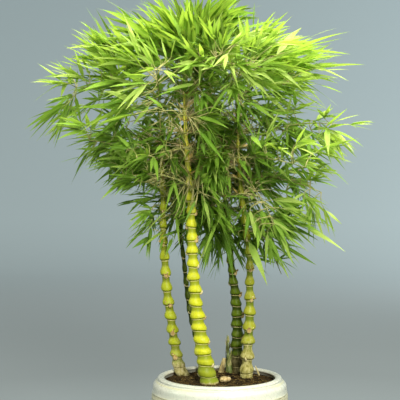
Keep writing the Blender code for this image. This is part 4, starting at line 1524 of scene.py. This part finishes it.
@dataclass
class Undergrowth:
    """What fills the crown close to a cane: short dark shoots, dry husks at the nodes and sprays of dead twigs."""

    cane: Cane
    crown: Crown
    leafy_from: float
    shoots_each: int = 9
    husks_each: int = 5
    dead_each: int = 12

    DEAD_BELOW = 0.73
    DEAD_SPRAYS = 2
    YOUNG_SHARE = 0.06
    YOUNG_TONE = 0.95
    YOUNG_WIDER = 1.3
    # Painted shade: the share of its tone that an inner leaf keeps.
    SHADED = 0.8

    def __post_init__(self) -> None:
        """Starts the draws."""
        self.chance = np.random.default_rng(91 + len(self.cane.name))

    def stations(self, each: int) -> Array:
        """Each leafy node's place, repeated each times."""
        nodes = self.cane.nodes
        return np.repeat(nodes[nodes[:, 2] > self.leafy_from], each, axis=0)

    def ways(self, count: int, climb: float) -> Array:
        """So many directions all round, which climb by about climb."""
        flat = level_ways(self.chance.uniform(0, math.tau, count))
        return unit(flat + self.chance.normal(climb, 0.3, (count, 1)) * UP)

    def live(self) -> Shoots:
        """Short shoots with small dark leaves.

        Returns:
            The shoots.
        """
        base = self.stations(self.shoots_each)
        way = self.ways(len(base), 0.25)
        size = self.chance.uniform(0.020, 0.090, len(base))
        paths = arches(base, base + way * size[:, None], size * 0.14, 6)
        leaf = self.chance.uniform(0.024, 0.054, len(base))
        return Shoots(paths, leaf, self.chance, droop=0.2, open_angle=math.radians(58), wide=0.0080)

    def dead(self) -> Surface:
        """Dead twigs, thin and almost straight, in sprays that go up and out, to the sides or the back.

        Returns:
            One surface.
        """
        nodes = self.stations(self.DEAD_SPRAYS)
        nodes = nodes[nodes[:, 2] < self.DEAD_BELOW]
        lean = np.repeat(self.ways(len(nodes), 0.45), self.dead_each, axis=0)
        base = np.repeat(nodes, self.dead_each, axis=0)
        way = unit(lean + self.chance.normal(0, 0.45, base.shape))
        way[:, 1] = np.abs(way[:, 1])
        size = self.chance.uniform(0.020, 0.075, len(base))
        paths = arches(base, base + way * size[:, None], size * 0.10, 6)
        sway = np.stack([ripple(paths, 0.03, seed) for seed in (1, 2, 3)], -1)
        paths += 0.003 * sway * np.linspace(0, 1, 6)[:, None]
        radii = np.linspace(0.00055, 0.0003, 6) * np.ones((len(base), 1))
        return tubes(paths, radii, 4, tone=self.chance.uniform(0.5, 1.4, len(base)))

    def husks(self) -> Surface:
        """Dry husks: short curled blades that stand off the cane at its nodes.

        Returns:
            One surface.
        """
        base = self.stations(self.husks_each)
        way = self.ways(len(base), 0.8)
        count = len(base)
        level = way * (1, 1, 0)
        base = base + level * self.cane.radius(base[:, 2])[:, None] * 0.8
        length = self.chance.uniform(0.008, 0.022, count)
        return Blades(
            base,
            way,
            unit(level - 0.3 * UP + self.chance.normal(0, 0.4, (count, 3))),
            length,
            length * self.chance.uniform(0.24, 0.42, count),
            self.chance.uniform(-0.3, 0.3, count),
            self.chance.normal(0, 0.8, count),
            self.chance.uniform(0.2, 1.0, count),
        ).surface()

    def make(self) -> None:
        """Places the shoots, the husks and the dead twigs."""
        name = self.cane.name
        shoots = self.live()
        leaves = self.crown.opened(shoots.blades(self.crown), self.chance)
        young = self.chance.uniform(0, 1, len(leaves.tone)) < self.YOUNG_SHARE
        # Painted shade: the inner leaves are darkened, all but a few young ones.
        leaves.tone = np.where(young, self.YOUNG_TONE, leaves.tone * self.SHADED)
        leaves.width = leaves.width * np.where(young, self.YOUNG_WIDER, 1.0)
        place_piece("inner_leaves_" + name, leaves.surface(), FINISHES["leaf"], "foliage")
        place_piece("inner_twigs_" + name, shoots.twigs(0.4), FINISHES["twig"], "foliage")
        place_piece("dead_twigs_" + name, self.dead(), FINISHES["straw"], "foliage")
        place_piece("husks_" + name, self.husks(), FINISHES["husk"], "dry_husk")


@dataclass
class Pot:
    """The glazed pot: a full-bellied drum with a flat rolled lip, a shallow neck and a band of carved fret."""

    node: str = "pot"
    columns: int = 640
    lip_round: float = 0.0060
    lip_rise: float = 0.0036
    lip_radius: float = 0.1025
    wall: float = 0.0095
    floor: float = 0.012
    belly: float = 0.1195
    belly_z: float = 0.112
    base_taper: float = 0.285
    shoulder_taper: float = 0.046
    band_top: float = 0.1385
    band_height: float = 0.074
    fret_cells: int = 24
    carve: float = 0.0011
    line: float = 0.032
    border: tuple[float, float] = (0.0025, 0.0095)
    slant_pitch: float = 0.0075
    fret_drop: float = 0.0115
    drain_circle: float = 0.040
    drain_radius: float = 0.0065
    drain_groove: float = 0.004
    drains: int = 3

    SPIRAL = (
        ((0.08, 0.08), (0.92, 0.08), (0.92, 0.92), (0.08, 0.92), (0.08, 0.30))
        + ((0.70, 0.30), (0.70, 0.70), (0.30, 0.70), (0.30, 0.50), (0.50, 0.50))
    )
    FOOT_RISE = 0.0012
    NECK_RISES = np.array((7, 16, 30, 46, 60, 74, 88, 100, 112, 124, 136, 150)) / 10000
    NECK_DEPTHS = np.array((3, 5, 6, 6, 5, 4, 2, 1, 1, 1, 4, 9)) / 10000
    SHOULDER = ((0.1137, 0.1552), (0.1121, 0.1567), (0.1102, 0.1581), (0.1088, 0.1593))
    LINE_DROPS = (0.0015, 0.0105)
    LINE_RISES = (0.0015, 0.0050)

    def __post_init__(self) -> None:
        """Takes the pot's height and foot from the frame."""
        points = node_points(self.node)
        radius = np.hypot(points[:, 0], points[:, 1])
        self.rim = points[:, 2].max()
        self.foot = radius[points[:, 2] < 0.0001].max()
        self.band_low = self.band_top - self.band_height

    def outer(self, z: Array) -> Array:
        """The outside radius: full at the belly, and drawn in by square laws, much at the foot and a little above.

        Args:
            z: The heights.

        Returns:
            The radius at each height.
        """
        below = np.clip((self.belly_z - z) / self.belly_z, 0, 1)
        above = np.clip((z - self.belly_z) / (self.rim - self.belly_z), 0, 1)
        return self.belly * (1 - self.base_taper * below**2 - self.shoulder_taper * above**2)

    def profile(self) -> Array:
        """The pot's section, from the middle of the base, up the outside, over the lip and down to the floor.

        Returns:
            Rows of radius and height.
        """
        foot = np.array([(0.0, 0.0), (0.03, 0.0), (self.foot - 0.001, 0.0), (self.foot + 0.0015, self.FOOT_RISE)])
        plain, carved = np.linspace(0.003, self.band_low - 0.002, 12), np.linspace(self.band_low, self.band_top, 68)
        z = np.concatenate([plain, carved])
        body = np.column_stack([self.outer(z), z])
        neck_z = self.band_top + self.NECK_RISES
        neck = np.column_stack([self.outer(neck_z) - self.NECK_DEPTHS, neck_z])
        b = np.radians(np.linspace(-32, 200, 16))
        lip = np.column_stack([self.lip_round * np.cos(b), self.lip_rise * np.sin(b) - self.lip_rise])
        lip = lip + (self.lip_radius, self.rim)
        inside_z = np.linspace(0.147, self.floor + 0.010, 8)
        inside = np.column_stack([self.outer(inside_z) - self.wall, inside_z])
        base = np.array([(self.outer(np.array(0.022)) - 0.022, self.floor), (0.03, self.floor), (0.0, self.floor)])
        return np.concatenate([foot, body, neck, self.SHOULDER, lip, inside, base])

    def fret(self, angle: Array, z: Array) -> Array:
        """How deep the carving is, from 0 to 1.

        Each square cell, mirrored in turn, holds a line wound inwards in a square spiral, and the depth falls with the
        distance to its nearest stroke. Slanted strokes run above, between plain lines, and two more lines run below.

        Args:
            angle: The way round the pot.
            z: The height.

        Returns:
            The depth at each place.
        """
        cell = math.tau * self.belly / self.fret_cells
        along = angle / math.tau * self.fret_cells
        up = (self.band_top - self.fret_drop - z) / cell
        x, y = (np.where(np.floor(v) % 2 == 0, v % 1, 1 - v % 1) for v in (along, up))
        near = np.full(z.shape, 9.0)
        for (x0, y0), (x1, y1) in zip(self.SPIRAL, self.SPIRAL[1:]):
            dx = np.maximum(np.maximum(min(x0, x1) - x, x - max(x0, x1)), 0)
            dy = np.maximum(np.maximum(min(y0, y1) - y, y - max(y0, y1)), 0)
            near = np.minimum(near, np.hypot(dx, dy))
        spiral = (1 - smoothstep(near, self.line * 0.7, self.line * 1.7)) * (up > 0) * (up < 2)
        slant = ((angle / math.tau * self.fret_cells * 5 + (z - self.band_top) / self.slant_pitch) % 1 - 0.5) * 2
        start, end = self.border
        between = (self.band_top - end < z) & (z < self.band_top - start)
        strokes = (1 - smoothstep(np.abs(slant), 0.22, 0.55)) * between
        drops = (*self.LINE_DROPS, *(self.band_height - rise for rise in self.LINE_RISES))
        lines = [bump(z, self.band_top - drop, 0.0008) for drop in drops]
        return np.maximum.reduce([spiral, strokes, *lines])

    def build(self) -> Surface:
        """The pot, carved, with the traits carved, hollow, washed, bare and inside.

        Returns:
            The closed surface.
        """
        made = turned(self.profile(), self.columns)
        p = made.points
        radius = np.hypot(p[:, 0], p[:, 1])
        angle = np.arctan2(p[:, 1], p[:, 0])
        z = p[:, 2]
        outside = radius > self.outer(z) - self.wall * 0.6
        band = smoothstep(z, self.band_low - 0.003, self.band_low)
        band = band * (1 - smoothstep(z, self.band_top, self.band_top + 0.002)) * outside
        depth = self.fret(angle, z) * band
        uneven = ripple(p, 0.07, 5) * 0.0005 + ripple(p, 0.02, 6) * 0.00012
        shift = np.where(outside, uneven - self.carve * depth, uneven * 0.5) * smoothstep(z, 0.0, 0.006)
        scale = (1 + shift / np.maximum(radius, 0.02))[:, None]
        made.points = p * np.column_stack([scale, scale, np.ones(len(p))])
        groove = bump(z, self.rim - 0.0066, 0.0022) * outside
        below_rim = 1 - smoothstep(z, self.rim - 0.0085, self.rim - 0.001)
        made.traits = {
            "carved": band,
            "hollow": depth,
            "washed": np.maximum(groove, 0.35 * bump(z, self.band_top + 0.004, 0.003) * outside),
            "bare": 1 - smoothstep(z, 0.0035, 0.0045),
            "inside": (~outside) * (radius < self.lip_radius - 0.002) * below_rim,
        }
        return made

    def make(self) -> None:
        """Places the pot with its drain holes."""
        self.drill(place_piece("glazed_pot", self.build(), GlazeFinish().make(), "pot_glaze", self.node))

    def drill(self, piece: Object) -> None:
        """Cuts the drain holes through the pot's floor, and a groove out of each under its foot.

        Args:
            piece: The pot.
        """
        for k in range(self.drains):
            turn = math.tau * k / self.drains + math.pi / 2
            out = np.array((math.cos(turn), math.sin(turn), 0.0))
            path = (out * self.drain_circle)[None] + np.array((-0.004, 0.0, 0.016, 0.02))[:, None] * UP
            hole = tubes(path[None], np.full((1, 4), self.drain_radius), 28)
            ends = np.array((self.drain_circle, self.foot + 0.004))[:, None] * out
            groove = tubes(ends[None], np.full((1, 2), self.drain_groove), 12, 0.75)
            for name, shape in (("hole", hole), ("groove", groove)):
                cutter = linked(f"{name}_{k}", shape.mesh(f"{name}_{k}"))
                modifier = piece.modifiers.new(cutter.name, "BOOLEAN")
                modifier.operation, modifier.solver, modifier.object = "DIFFERENCE", "EXACT", cutter
                with bpy.context.temp_override(object=piece, active_object=piece):
                    bpy.ops.object.modifier_apply(modifier=modifier.name)
                bpy.data.objects.remove(cutter)


@dataclass
class SoilBed:
    """The soil: an uneven mound with crumbs, grit and root fibres on it."""

    node: str = "soil"
    columns: int = 220
    rings: int = 84
    crumbs: int = 1900
    fibres: int = 380
    skirt: float = 0.016
    heap: tuple[float, float] = (0.005, 0.058)
    heap_height: float = 0.0045
    heap_radius: float = 0.022
    shadow_radius: float = 0.013

    # Where the painted shadows lie on the soil.
    PAINTED_SHADOWS = ((0.010, 0.012), (0.034, 0.034))

    def __post_init__(self) -> None:
        """Takes the soil's edge and crest from the frame."""
        points = node_points(self.node)
        radius = np.hypot(points[:, 0], points[:, 1])
        self.crest = points[:, 2].max()
        top = points[:, 2] > self.crest - 0.0045
        self.edge = radius[top].max()
        self.edge_z = points[top & (radius > self.edge - 0.0005), 2].max()
        self.chance = np.random.default_rng(17)

    def height(self, x: Array, y: Array) -> Array:
        """The surface's height: the mound and the heap round the shoot, with lumps of three sizes.

        Args:
            x: The places across.
            y: The places from front to back.

        Returns:
            The height at each place.
        """
        share = np.clip(np.hypot(x, y) / self.edge, 0, 1)
        places = np.stack([x, y, np.zeros_like(x)], -1)
        lumps = 0.0011 * ripple(places, 0.016, 21) + 0.0007 * ripple(places, 0.006, 22)
        lumps = lumps + 0.0004 * ripple(places, 0.003, 23)
        heap = self.heap_height * bump(np.hypot(x - self.heap[0], y - self.heap[1]), 0.0, self.heap_radius)
        return self.edge_z + (self.crest - self.edge_z) * (1 - share**2) - 0.0006 + heap + lumps * (1 - share**12)

    def bed(self) -> Surface:
        """The mound with a short skirt down the pot's wall, closed below, and with painted shadow in two spots by the
        shoot.

        Returns:
            The closed surface, with the trait tone.
        """
        r = np.linspace(0.0, 1.0, self.rings)[::-1] * (self.edge - 0.0008)
        skirt = np.column_stack([[0.0, 0.03, self.edge - 0.004, self.edge - 0.002], [self.edge_z - self.skirt] * 4])
        skirt[-1, 1] = self.edge_z - 0.004
        made = turned(np.concatenate([skirt, np.column_stack([r, np.full(len(r), self.edge_z)])]), self.columns)
        p = made.points
        top = p[:, 2] > self.edge_z - 0.001
        p[top, 2] = self.height(p[top, 0], p[top, 1])
        # Painted shadow: darker soil round two spots by the shoot.
        gaps = (np.hypot(p[:, 0] - x, p[:, 1] - y) for x, y in self.PAINTED_SHADOWS)
        hollow = np.maximum.reduce([bump(gap, 0, self.shadow_radius) for gap in gaps])
        made.traits["tone"] = 0.24 + 0.25 * ripple(p, 0.02, 24) - 0.7 * hollow
        return made

    def scattered(self, count: int) -> Array:
        """Places all over the surface, even per area.

        Args:
            count: How many.

        Returns:
            Rows of x, y and z.
        """
        r = np.sqrt(self.chance.uniform(0, 1, count)) * (self.edge - 0.004)
        a = self.chance.uniform(0, math.tau, count)
        x, y = r * np.cos(a), r * np.sin(a)
        return np.column_stack([x, y, self.height(x, y)])

    def litter(self) -> Surface:
        """Crumbs, as short knobbly tubes, and fibres, as long thin ones.

        Returns:
            One surface.
        """
        chance = self.chance
        place = self.scattered(self.crumbs)
        size = 0.0004 + 0.0016 * chance.power(0.35, self.crumbs) * chance.uniform(0.3, 1, self.crumbs)
        way = unit(chance.normal(0, 1, (self.crumbs, 3)) * (1, 1, 0.5))
        t = np.array((-1.0, -0.4, 0.4, 1.0))
        paths = place[:, None] + way[:, None] * (size[:, None] * t)[..., None] + (size * 0.35)[:, None, None] * UP
        jag = chance.uniform(0.75, 1.25, (self.crumbs, 4))
        radii = size[:, None] * np.sqrt(np.clip(1 - 0.92 * t**2, 0, 1)) * jag * 0.8
        crumbs = tubes(paths, radii, 5, 0.8, tone=np.clip(chance.normal(0.28, 0.26, self.crumbs), 0, 1.2))
        base = self.scattered(self.fibres)
        turn = chance.uniform(0, math.tau, self.fibres)
        length = chance.uniform(0.003, 0.012, self.fibres)
        way = level_ways(turn) + chance.uniform(-0.05, 0.3, (self.fibres, 1)) * UP
        fibre_paths = arches(base, base + way * length[:, None], length * 0.3, 6) + 0.0006 * UP
        thin = chance.uniform(0.00015, 0.00034, (self.fibres, 1)) * np.ones(6)
        fibres = tubes(fibre_paths, thin, 5, tone=chance.uniform(0.3, 1.0, self.fibres))
        return Surface.joined([crumbs, fibres])

    def make(self) -> None:
        """Places the bed and the litter."""
        finish = SoilFinish().make()
        place_piece("soil_bed", self.bed(), finish, "potting_soil", self.node)
        place_piece("soil_litter", self.litter(), finish, "potting_soil", self.node)


@dataclass(frozen=True)
class Stem:
    """A small upright piece: the frame node it follows, how finely it is made, its ridges and its tone."""

    node: str
    stops: int
    sides: int
    ridges: float
    swell: float
    seed: int
    tone: float

    def build(self) -> Surface:
        """The node's rings made finer, with low ridges round them, tone in slow waves and a knobbly skin.

        Returns:
            The closed surface.
        """
        middles, radii = node_rings(self.node)
        z = np.linspace(middles[0, 2], middles[-1, 2], self.stops)
        path = np.column_stack([through(z, middles[:, 2], middles[:, :2]), z])
        t = np.linspace(0, 1, self.stops)
        r = through(z, middles[:, 2], radii)
        r = r * (1 + self.swell * bump((t * self.ridges) % 1, 0.5, 0.16)) * (1 + 0.05 * ripple(path, 0.01, self.seed))
        tone = np.clip(self.tone + 0.12 * np.sin(t * 9), 0, 1)
        made = tubes(path[None], np.maximum(r, 0.0003)[None], self.sides, tone=tone[None])
        made.points += 0.00035 * ripple(made.points, 0.004, self.seed + 1)[:, None] * (1, 1, 0)
        return made


@dataclass
class GroundGrowth:
    """What else stands or lies on the soil: the young shoot, the cut stub, the dry stick and the rhizome chip."""

    shoot_sheaths: int = 11

    SHOOT = Stem("young_shoot", 60, 20, 7.0, 0.10, 41, 0.3)
    STUB = Stem("cut_stub", 36, 22, 5.0, 0.03, 43, 0.5)
    STICK = Stem("dry_stick", 26, 12, 2.0, 0.05, 45, 0.8)
    CHIP = "rhizome_chip"
    GOLDEN_ANGLE = math.radians(137.5)

    def sheaths(self) -> Surface:
        """Pointed sheaths that wrap the young shoot, each a blade bent round it.

        Returns:
            One surface.
        """
        middles, radii = node_rings(self.SHOOT.node)
        chance = np.random.default_rng(5)
        count = self.shoot_sheaths
        z = np.linspace(middles[1, 2] + 0.002, middles[-2, 2], count)
        base = np.column_stack([through(z, middles[:, 2], middles[:, :2]), z])
        out = level_ways(np.arange(count) * self.GOLDEN_ANGLE)
        r = np.interp(z, middles[:, 2], radii)
        length = np.linspace(0.024, 0.016, count)
        return Blades(
            base + out * r[:, None] * 0.9,
            unit(UP + out * 0.12),
            out,
            length,
            length * 0.34,
            np.full(count, -0.02),
            np.zeros(count),
            chance.uniform(0.1, 0.9, count),
        ).surface()

    def chip(self) -> Surface:
        """The rhizome chip: two joined egg shapes in the node's box, with rings round them and torn ends.

        Returns:
            The closed surface.
        """
        low, high = (np.array(corner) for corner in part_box(self.CHIP))
        middle, half = (low + high) / 2, (high - low) / 2
        t = np.linspace(-1, 1, 30)
        path = middle + np.column_stack([t * half[0], 0.12 * half[1] * np.sin(3 * t), 0.10 * half[2] * np.cos(2 * t)])
        r = half[1] * np.clip(1 - 0.94 * np.abs(t) ** 3.2, 0, 1) ** 0.5
        r = r * (1 - 0.20 * bump(t, 0.28, 0.12) - 0.08 * bump(t, -0.42, 0.07) - 0.25 * smoothstep(t, 0.2, 1.0))
        ringed = 0.60 - 0.25 * bump(t, -0.42, 0.05) - 0.35 * bump(t, 0.28, 0.06) - 0.4 * bump(np.abs(t), 1.0, 0.12)
        made = tubes(path[None], r[None], 28, tone=np.clip(ringed, 0, 1)[None])
        p = made.points
        p += 0.0007 * ripple(p, 0.006, 31)[:, None] + 0.0003 * ripple(p, 0.0022, 32)[:, None]
        p[:, 2] = np.clip(middle[2] + (p[:, 2] - middle[2]) * half[2] / half[1], low[2] - 0.0005, high[2] + 0.0005)
        return made

    def make(self) -> None:
        """Places all four."""
        shoot, stub, stick = self.SHOOT, self.STUB, self.STICK
        place_piece("shoot", shoot.build(), FINISHES["shoot"], "young_shoot", shoot.node)
        place_piece("shoot_sheaths", self.sheaths(), FINISHES["sheath"], "young_shoot", shoot.node)
        place_piece("stub", stub.build(), FINISHES["stub"], "dry_husk", stub.node)
        place_piece("stick", stick.build(), FINISHES["stub"], "dry_husk", stick.node)
        place_piece("chip", self.chip(), FINISHES["chip"], "dry_husk", self.CHIP)


# ---- studio


@dataclass
class Studio:
    """A pale floor that curves up to a round backdrop, soft lights, and a camera at eye level in front."""

    floor_reach: float = 4.2
    bend: float = 2.4
    wall_height: float = 2.8
    columns: int = 72
    drop: float = 0.0004
    # Painted light on the backdrop: its colours from near to far, and how much it glows.
    near: Colour = (0.106, 0.126, 0.132)
    middle: Colour = (0.206, 0.242, 0.256)
    far: Colour = (0.310, 0.372, 0.395)
    glow: float = 0.20
    sky: Colour = (1.0, 1.0, 0.90)
    sky_strength: float = 0.55
    camera_x: float = -0.0343
    camera_y: float = -1.668
    above_rim: float = 0.307
    lens: float = 85.8
    sensor: float = 36.0

    def sweep(self) -> None:
        """The floor and the backdrop: one surface turned round the object, curved up from flat to upright."""
        a = np.linspace(0, math.pi / 2, 16)
        flat = np.linspace(0.0, self.floor_reach, 6)[:, None] * (1, 0)
        curve = np.column_stack([self.floor_reach + self.bend * np.sin(a), self.bend * (1 - np.cos(a))])
        wall = np.array([(self.floor_reach + self.bend, self.wall_height)])
        profile = np.concatenate([flat, curve[1:], wall])
        points = spun(profile, self.columns).reshape(-1, 3) - self.drop * UP
        shape = Surface(points, grid_quads(1, len(profile), self.columns, True)[:, ::-1])
        b = Bench("backdrop")
        # Painted light: the paper is darker near the object, paler further out, and glows a little, which evens out how
        # the lamps light it.
        length = b.node("ShaderNodeVectorMath", {"operation": "LENGTH"}, {0: b.place((0.1, 0.1, 0.0))})
        away = Signal(b, length.outputs["Value"])
        colour = b.ramp(away, [(0.10, self.near), (0.30, self.middle), (0.54, self.far)])
        paper = b.finish(Base_Color=colour, Roughness=0.9, Emission_Color=colour, Emission_Strength=self.glow)
        mesh = shape.mesh("backdrop")
        mesh.materials.append(paper)
        linked("backdrop", mesh)

    def light(self, name: str, place: Colour, target: Colour, size: float, power: float, colour: Colour) -> None:
        """Sets up a soft square light.

        Args:
            name: Its name.
            place: Where it hangs.
            target: Where it looks.
            size: Its side.
            power: Its watts.
            colour: Its colour.
        """
        lamp = bpy.data.lights.new(name, "AREA")
        lamp.size, lamp.energy, lamp.color = size, power, colour
        made = linked(name, lamp)
        made.location = place
        x, y, z = np.array(target) - np.array(place)
        made.rotation_euler = (math.atan2(math.hypot(x, y), -z), 0, math.atan2(y, x) - math.pi / 2)

    def camera(self) -> None:
        """The camera: level, straight ahead, a little above the rim."""
        lens = bpy.data.cameras.new("camera")
        lens.lens, lens.sensor_width = self.lens, self.sensor
        made = linked("camera", lens)
        made.location = (self.camera_x, self.camera_y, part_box("pot")[1].z + self.above_rim)
        made.rotation_euler = (math.pi / 2, 0, 0)
        bpy.context.scene.camera = made

    def make(self) -> None:
        """Sets up the whole studio."""
        self.camera()
        self.sweep()
        self.light("overhead", (0.35, -0.10, 2.3), (-0.02, 0.0, 0.5), 0.6, 100.0, (1.0, 0.98, 0.90))
        self.light("front", (0.7, -2.6, 1.6), (0.0, 0.0, 0.35), 0.9, 109.0, (1.0, 0.99, 0.93))
        self.light("left", (-2.2, -0.3, 1.2), (0.0, 0.0, 0.5), 1.4, 12.0, (1.0, 1.0, 0.97))
        self.light("backdrop", (2.8, 2.4, 2.2), (2.4, 6.4, 0.8), 1.6, 95.0, (0.95, 1.0, 1.0))
        world = bpy.data.worlds.new("world")
        world.use_nodes = True
        background = world.node_tree.nodes["Background"]
        background.inputs["Color"].default_value = (*self.sky, 1.0)
        background.inputs["Strength"].default_value = self.sky_strength
        bpy.context.scene.world = world
        bpy.context.scene.view_settings.view_transform = "Standard"


# ---- the object


FINISHES: dict[str, Material] = {}
CROWN_MARGIN = np.array((0.006, 0.006, 0.016))
FIRST_BRANCH_SEED = 300
LEAFY_FROM = {"centre": 0.49, "left": 0.505, "right": 0.455, "back_right": 0.42, "back_left": 0.42}

WOODY = {
    "twig": ("twig", (0.10, 0.14, 0.03), (0.32, 0.32, 0.08), (0.58, 0.50, 0.22), 0.005, 0.6),
    "straw": ("dead_twig", (0.26, 0.15, 0.045), (0.54, 0.38, 0.14), (0.82, 0.66, 0.36), 0.004, 0.7),
    "bud": ("bud_scale", (0.22, 0.15, 0.05), (0.46, 0.36, 0.13), (0.64, 0.55, 0.28), 0.003, 0.65),
    "claw": ("branch_stub", (0.16, 0.09, 0.025), (0.50, 0.33, 0.10), (0.76, 0.60, 0.26), 0.003, 0.7),
    "husk": ("dry_husk", (0.38, 0.20, 0.06), (0.74, 0.50, 0.14), (0.92, 0.76, 0.36), 0.003, 0.7),
    "stub": ("cut_stub", (0.10, 0.065, 0.02), (0.38, 0.30, 0.11), (0.64, 0.56, 0.29), 0.004, 0.8),
    "shoot": ("young_shoot", (0.045, 0.065, 0.015), (0.17, 0.21, 0.045), (0.42, 0.46, 0.14), 0.003, 0.5),
    "sheath": ("shoot_sheath", (0.06, 0.07, 0.015), (0.19, 0.20, 0.05), (0.46, 0.40, 0.17), 0.003, 0.65),
    "chip": ("rhizome", (0.15, 0.09, 0.025), (0.50, 0.36, 0.14), (0.76, 0.62, 0.34), 0.004, 0.85),
}


def make_shared_finishes() -> None:
    """Makes the finishes that several pieces share."""
    FINISHES.update({key: WoodyFinish(*row).make() for key, row in WOODY.items()})
    FINISHES["leaf"] = LeafFinish().make()


def make_canes() -> dict[str, Cane]:
    """Places the five canes.

    Returns:
        The canes by name.
    """
    yellow = CaneFinish("cane_yellow", (0.58, 0.59, 0.018), (0.28, 0.32, 0.012), (0.19, 0.21, 0.010), highlight_share=0.22)
    lime = CaneFinish(
        "cane_lime", (0.37, 0.41, 0.014), (0.19, 0.22, 0.012), (0.15, 0.16, 0.010),
        foot=(0.30, 0.30, 0.10), highlight_share=0.20,
    )
    olive = CaneFinish(
        "cane_olive", (0.33, 0.34, 0.020), (0.14, 0.18, 0.010), (0.11, 0.12, 0.01),
        scar=(0.60, 0.54, 0.24), husk=(0.33, 0.29, 0.08), flake=(0.52, 0.47, 0.19), foot=(0.28, 0.27, 0.06), highlight_share=0.28,
    )
    dark = CaneFinish(
        "cane_dark", (0.085, 0.130, 0.004), (0.028, 0.046, 0.002), (0.04, 0.05, 0.004), (0.22, 0.19, 0.03),
        husk=(0.07, 0.055, 0.022), flake=(0.19, 0.16, 0.07), foot=(0.03, 0.035, 0.01), highlight_share=0.1, sheen=0.10,
    )
    darker = replace(
        dark, name="cane_darker", belly=(0.050, 0.075, 0.003), neck=(0.018, 0.030, 0.002),
        olive=(0.03, 0.035, 0.003), tan=(0.12, 0.10, 0.02),
    )
    canes = [
        Cane("centre", yellow, Turn.RIGHT, 3.2, 0.010, 0.40, girth=1.05),
        Cane("left", lime, Turn.FRONT, 1.2, 0.042, 0.17, neck=0.64, shoulder=0.24, girth=1.13),
        Cane("right", olive, Turn.FRONT, 0.8, 0.125, 0.24, 0.61, 0.74, 0.20, collar=0.09, girth=1.11),
        Cane("back_right", dark, Turn.RIGHT, 2.5, 0.060, 0.15, neck=0.76, shoulder=0.22, girth=1.15),
        Cane("back_left", darker, Turn.BACK, 1.0, 0.050, 0.35, neck=0.72, girth=1.1),
    ]
    for cane in canes:
        cane.make()
    return {cane.name: cane for cane in canes}


def make_crown(canes: dict[str, Cane]) -> None:
    """Places every leafy branch, the sprays, and what fills the crown close to the canes.

    Args:
        canes: The canes by name.
    """
    front = [canes[name] for name in ("left", "centre", "right")]
    crown = Crown(np.array(CAD_BOX[0]) - CROWN_MARGIN, np.array(CAD_BOX[1]) + CROWN_MARGIN, front)
    branches = []
    for seed, node in enumerate(sorted(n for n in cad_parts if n.startswith("branch_"))):
        cane = canes[node.removeprefix("branch_").rpartition("_")[0]]
        branches.append(LeafyBranch(node, cane, crown, FIRST_BRANCH_SEED + seed))
    share_out(branches, crown)
    Sprays(crown).make(canes)
    for branch in branches:
        branch.make()
    for name, height in LEAFY_FROM.items():
        Undergrowth(canes[name], crown, height).make()


def main() -> None:
    """Builds the object and its studio."""
    logging.basicConfig(level=logging.INFO, format="%(name)s %(message)s")
    Studio().make()
    make_shared_finishes()
    Pot().make()
    SoilBed().make()
    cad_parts["drain_mesh"].material_slots[0].material = NetFinish().make()
    GroundGrowth().make()
    make_crown(make_canes())


if __name__ == "__main__":
    main()
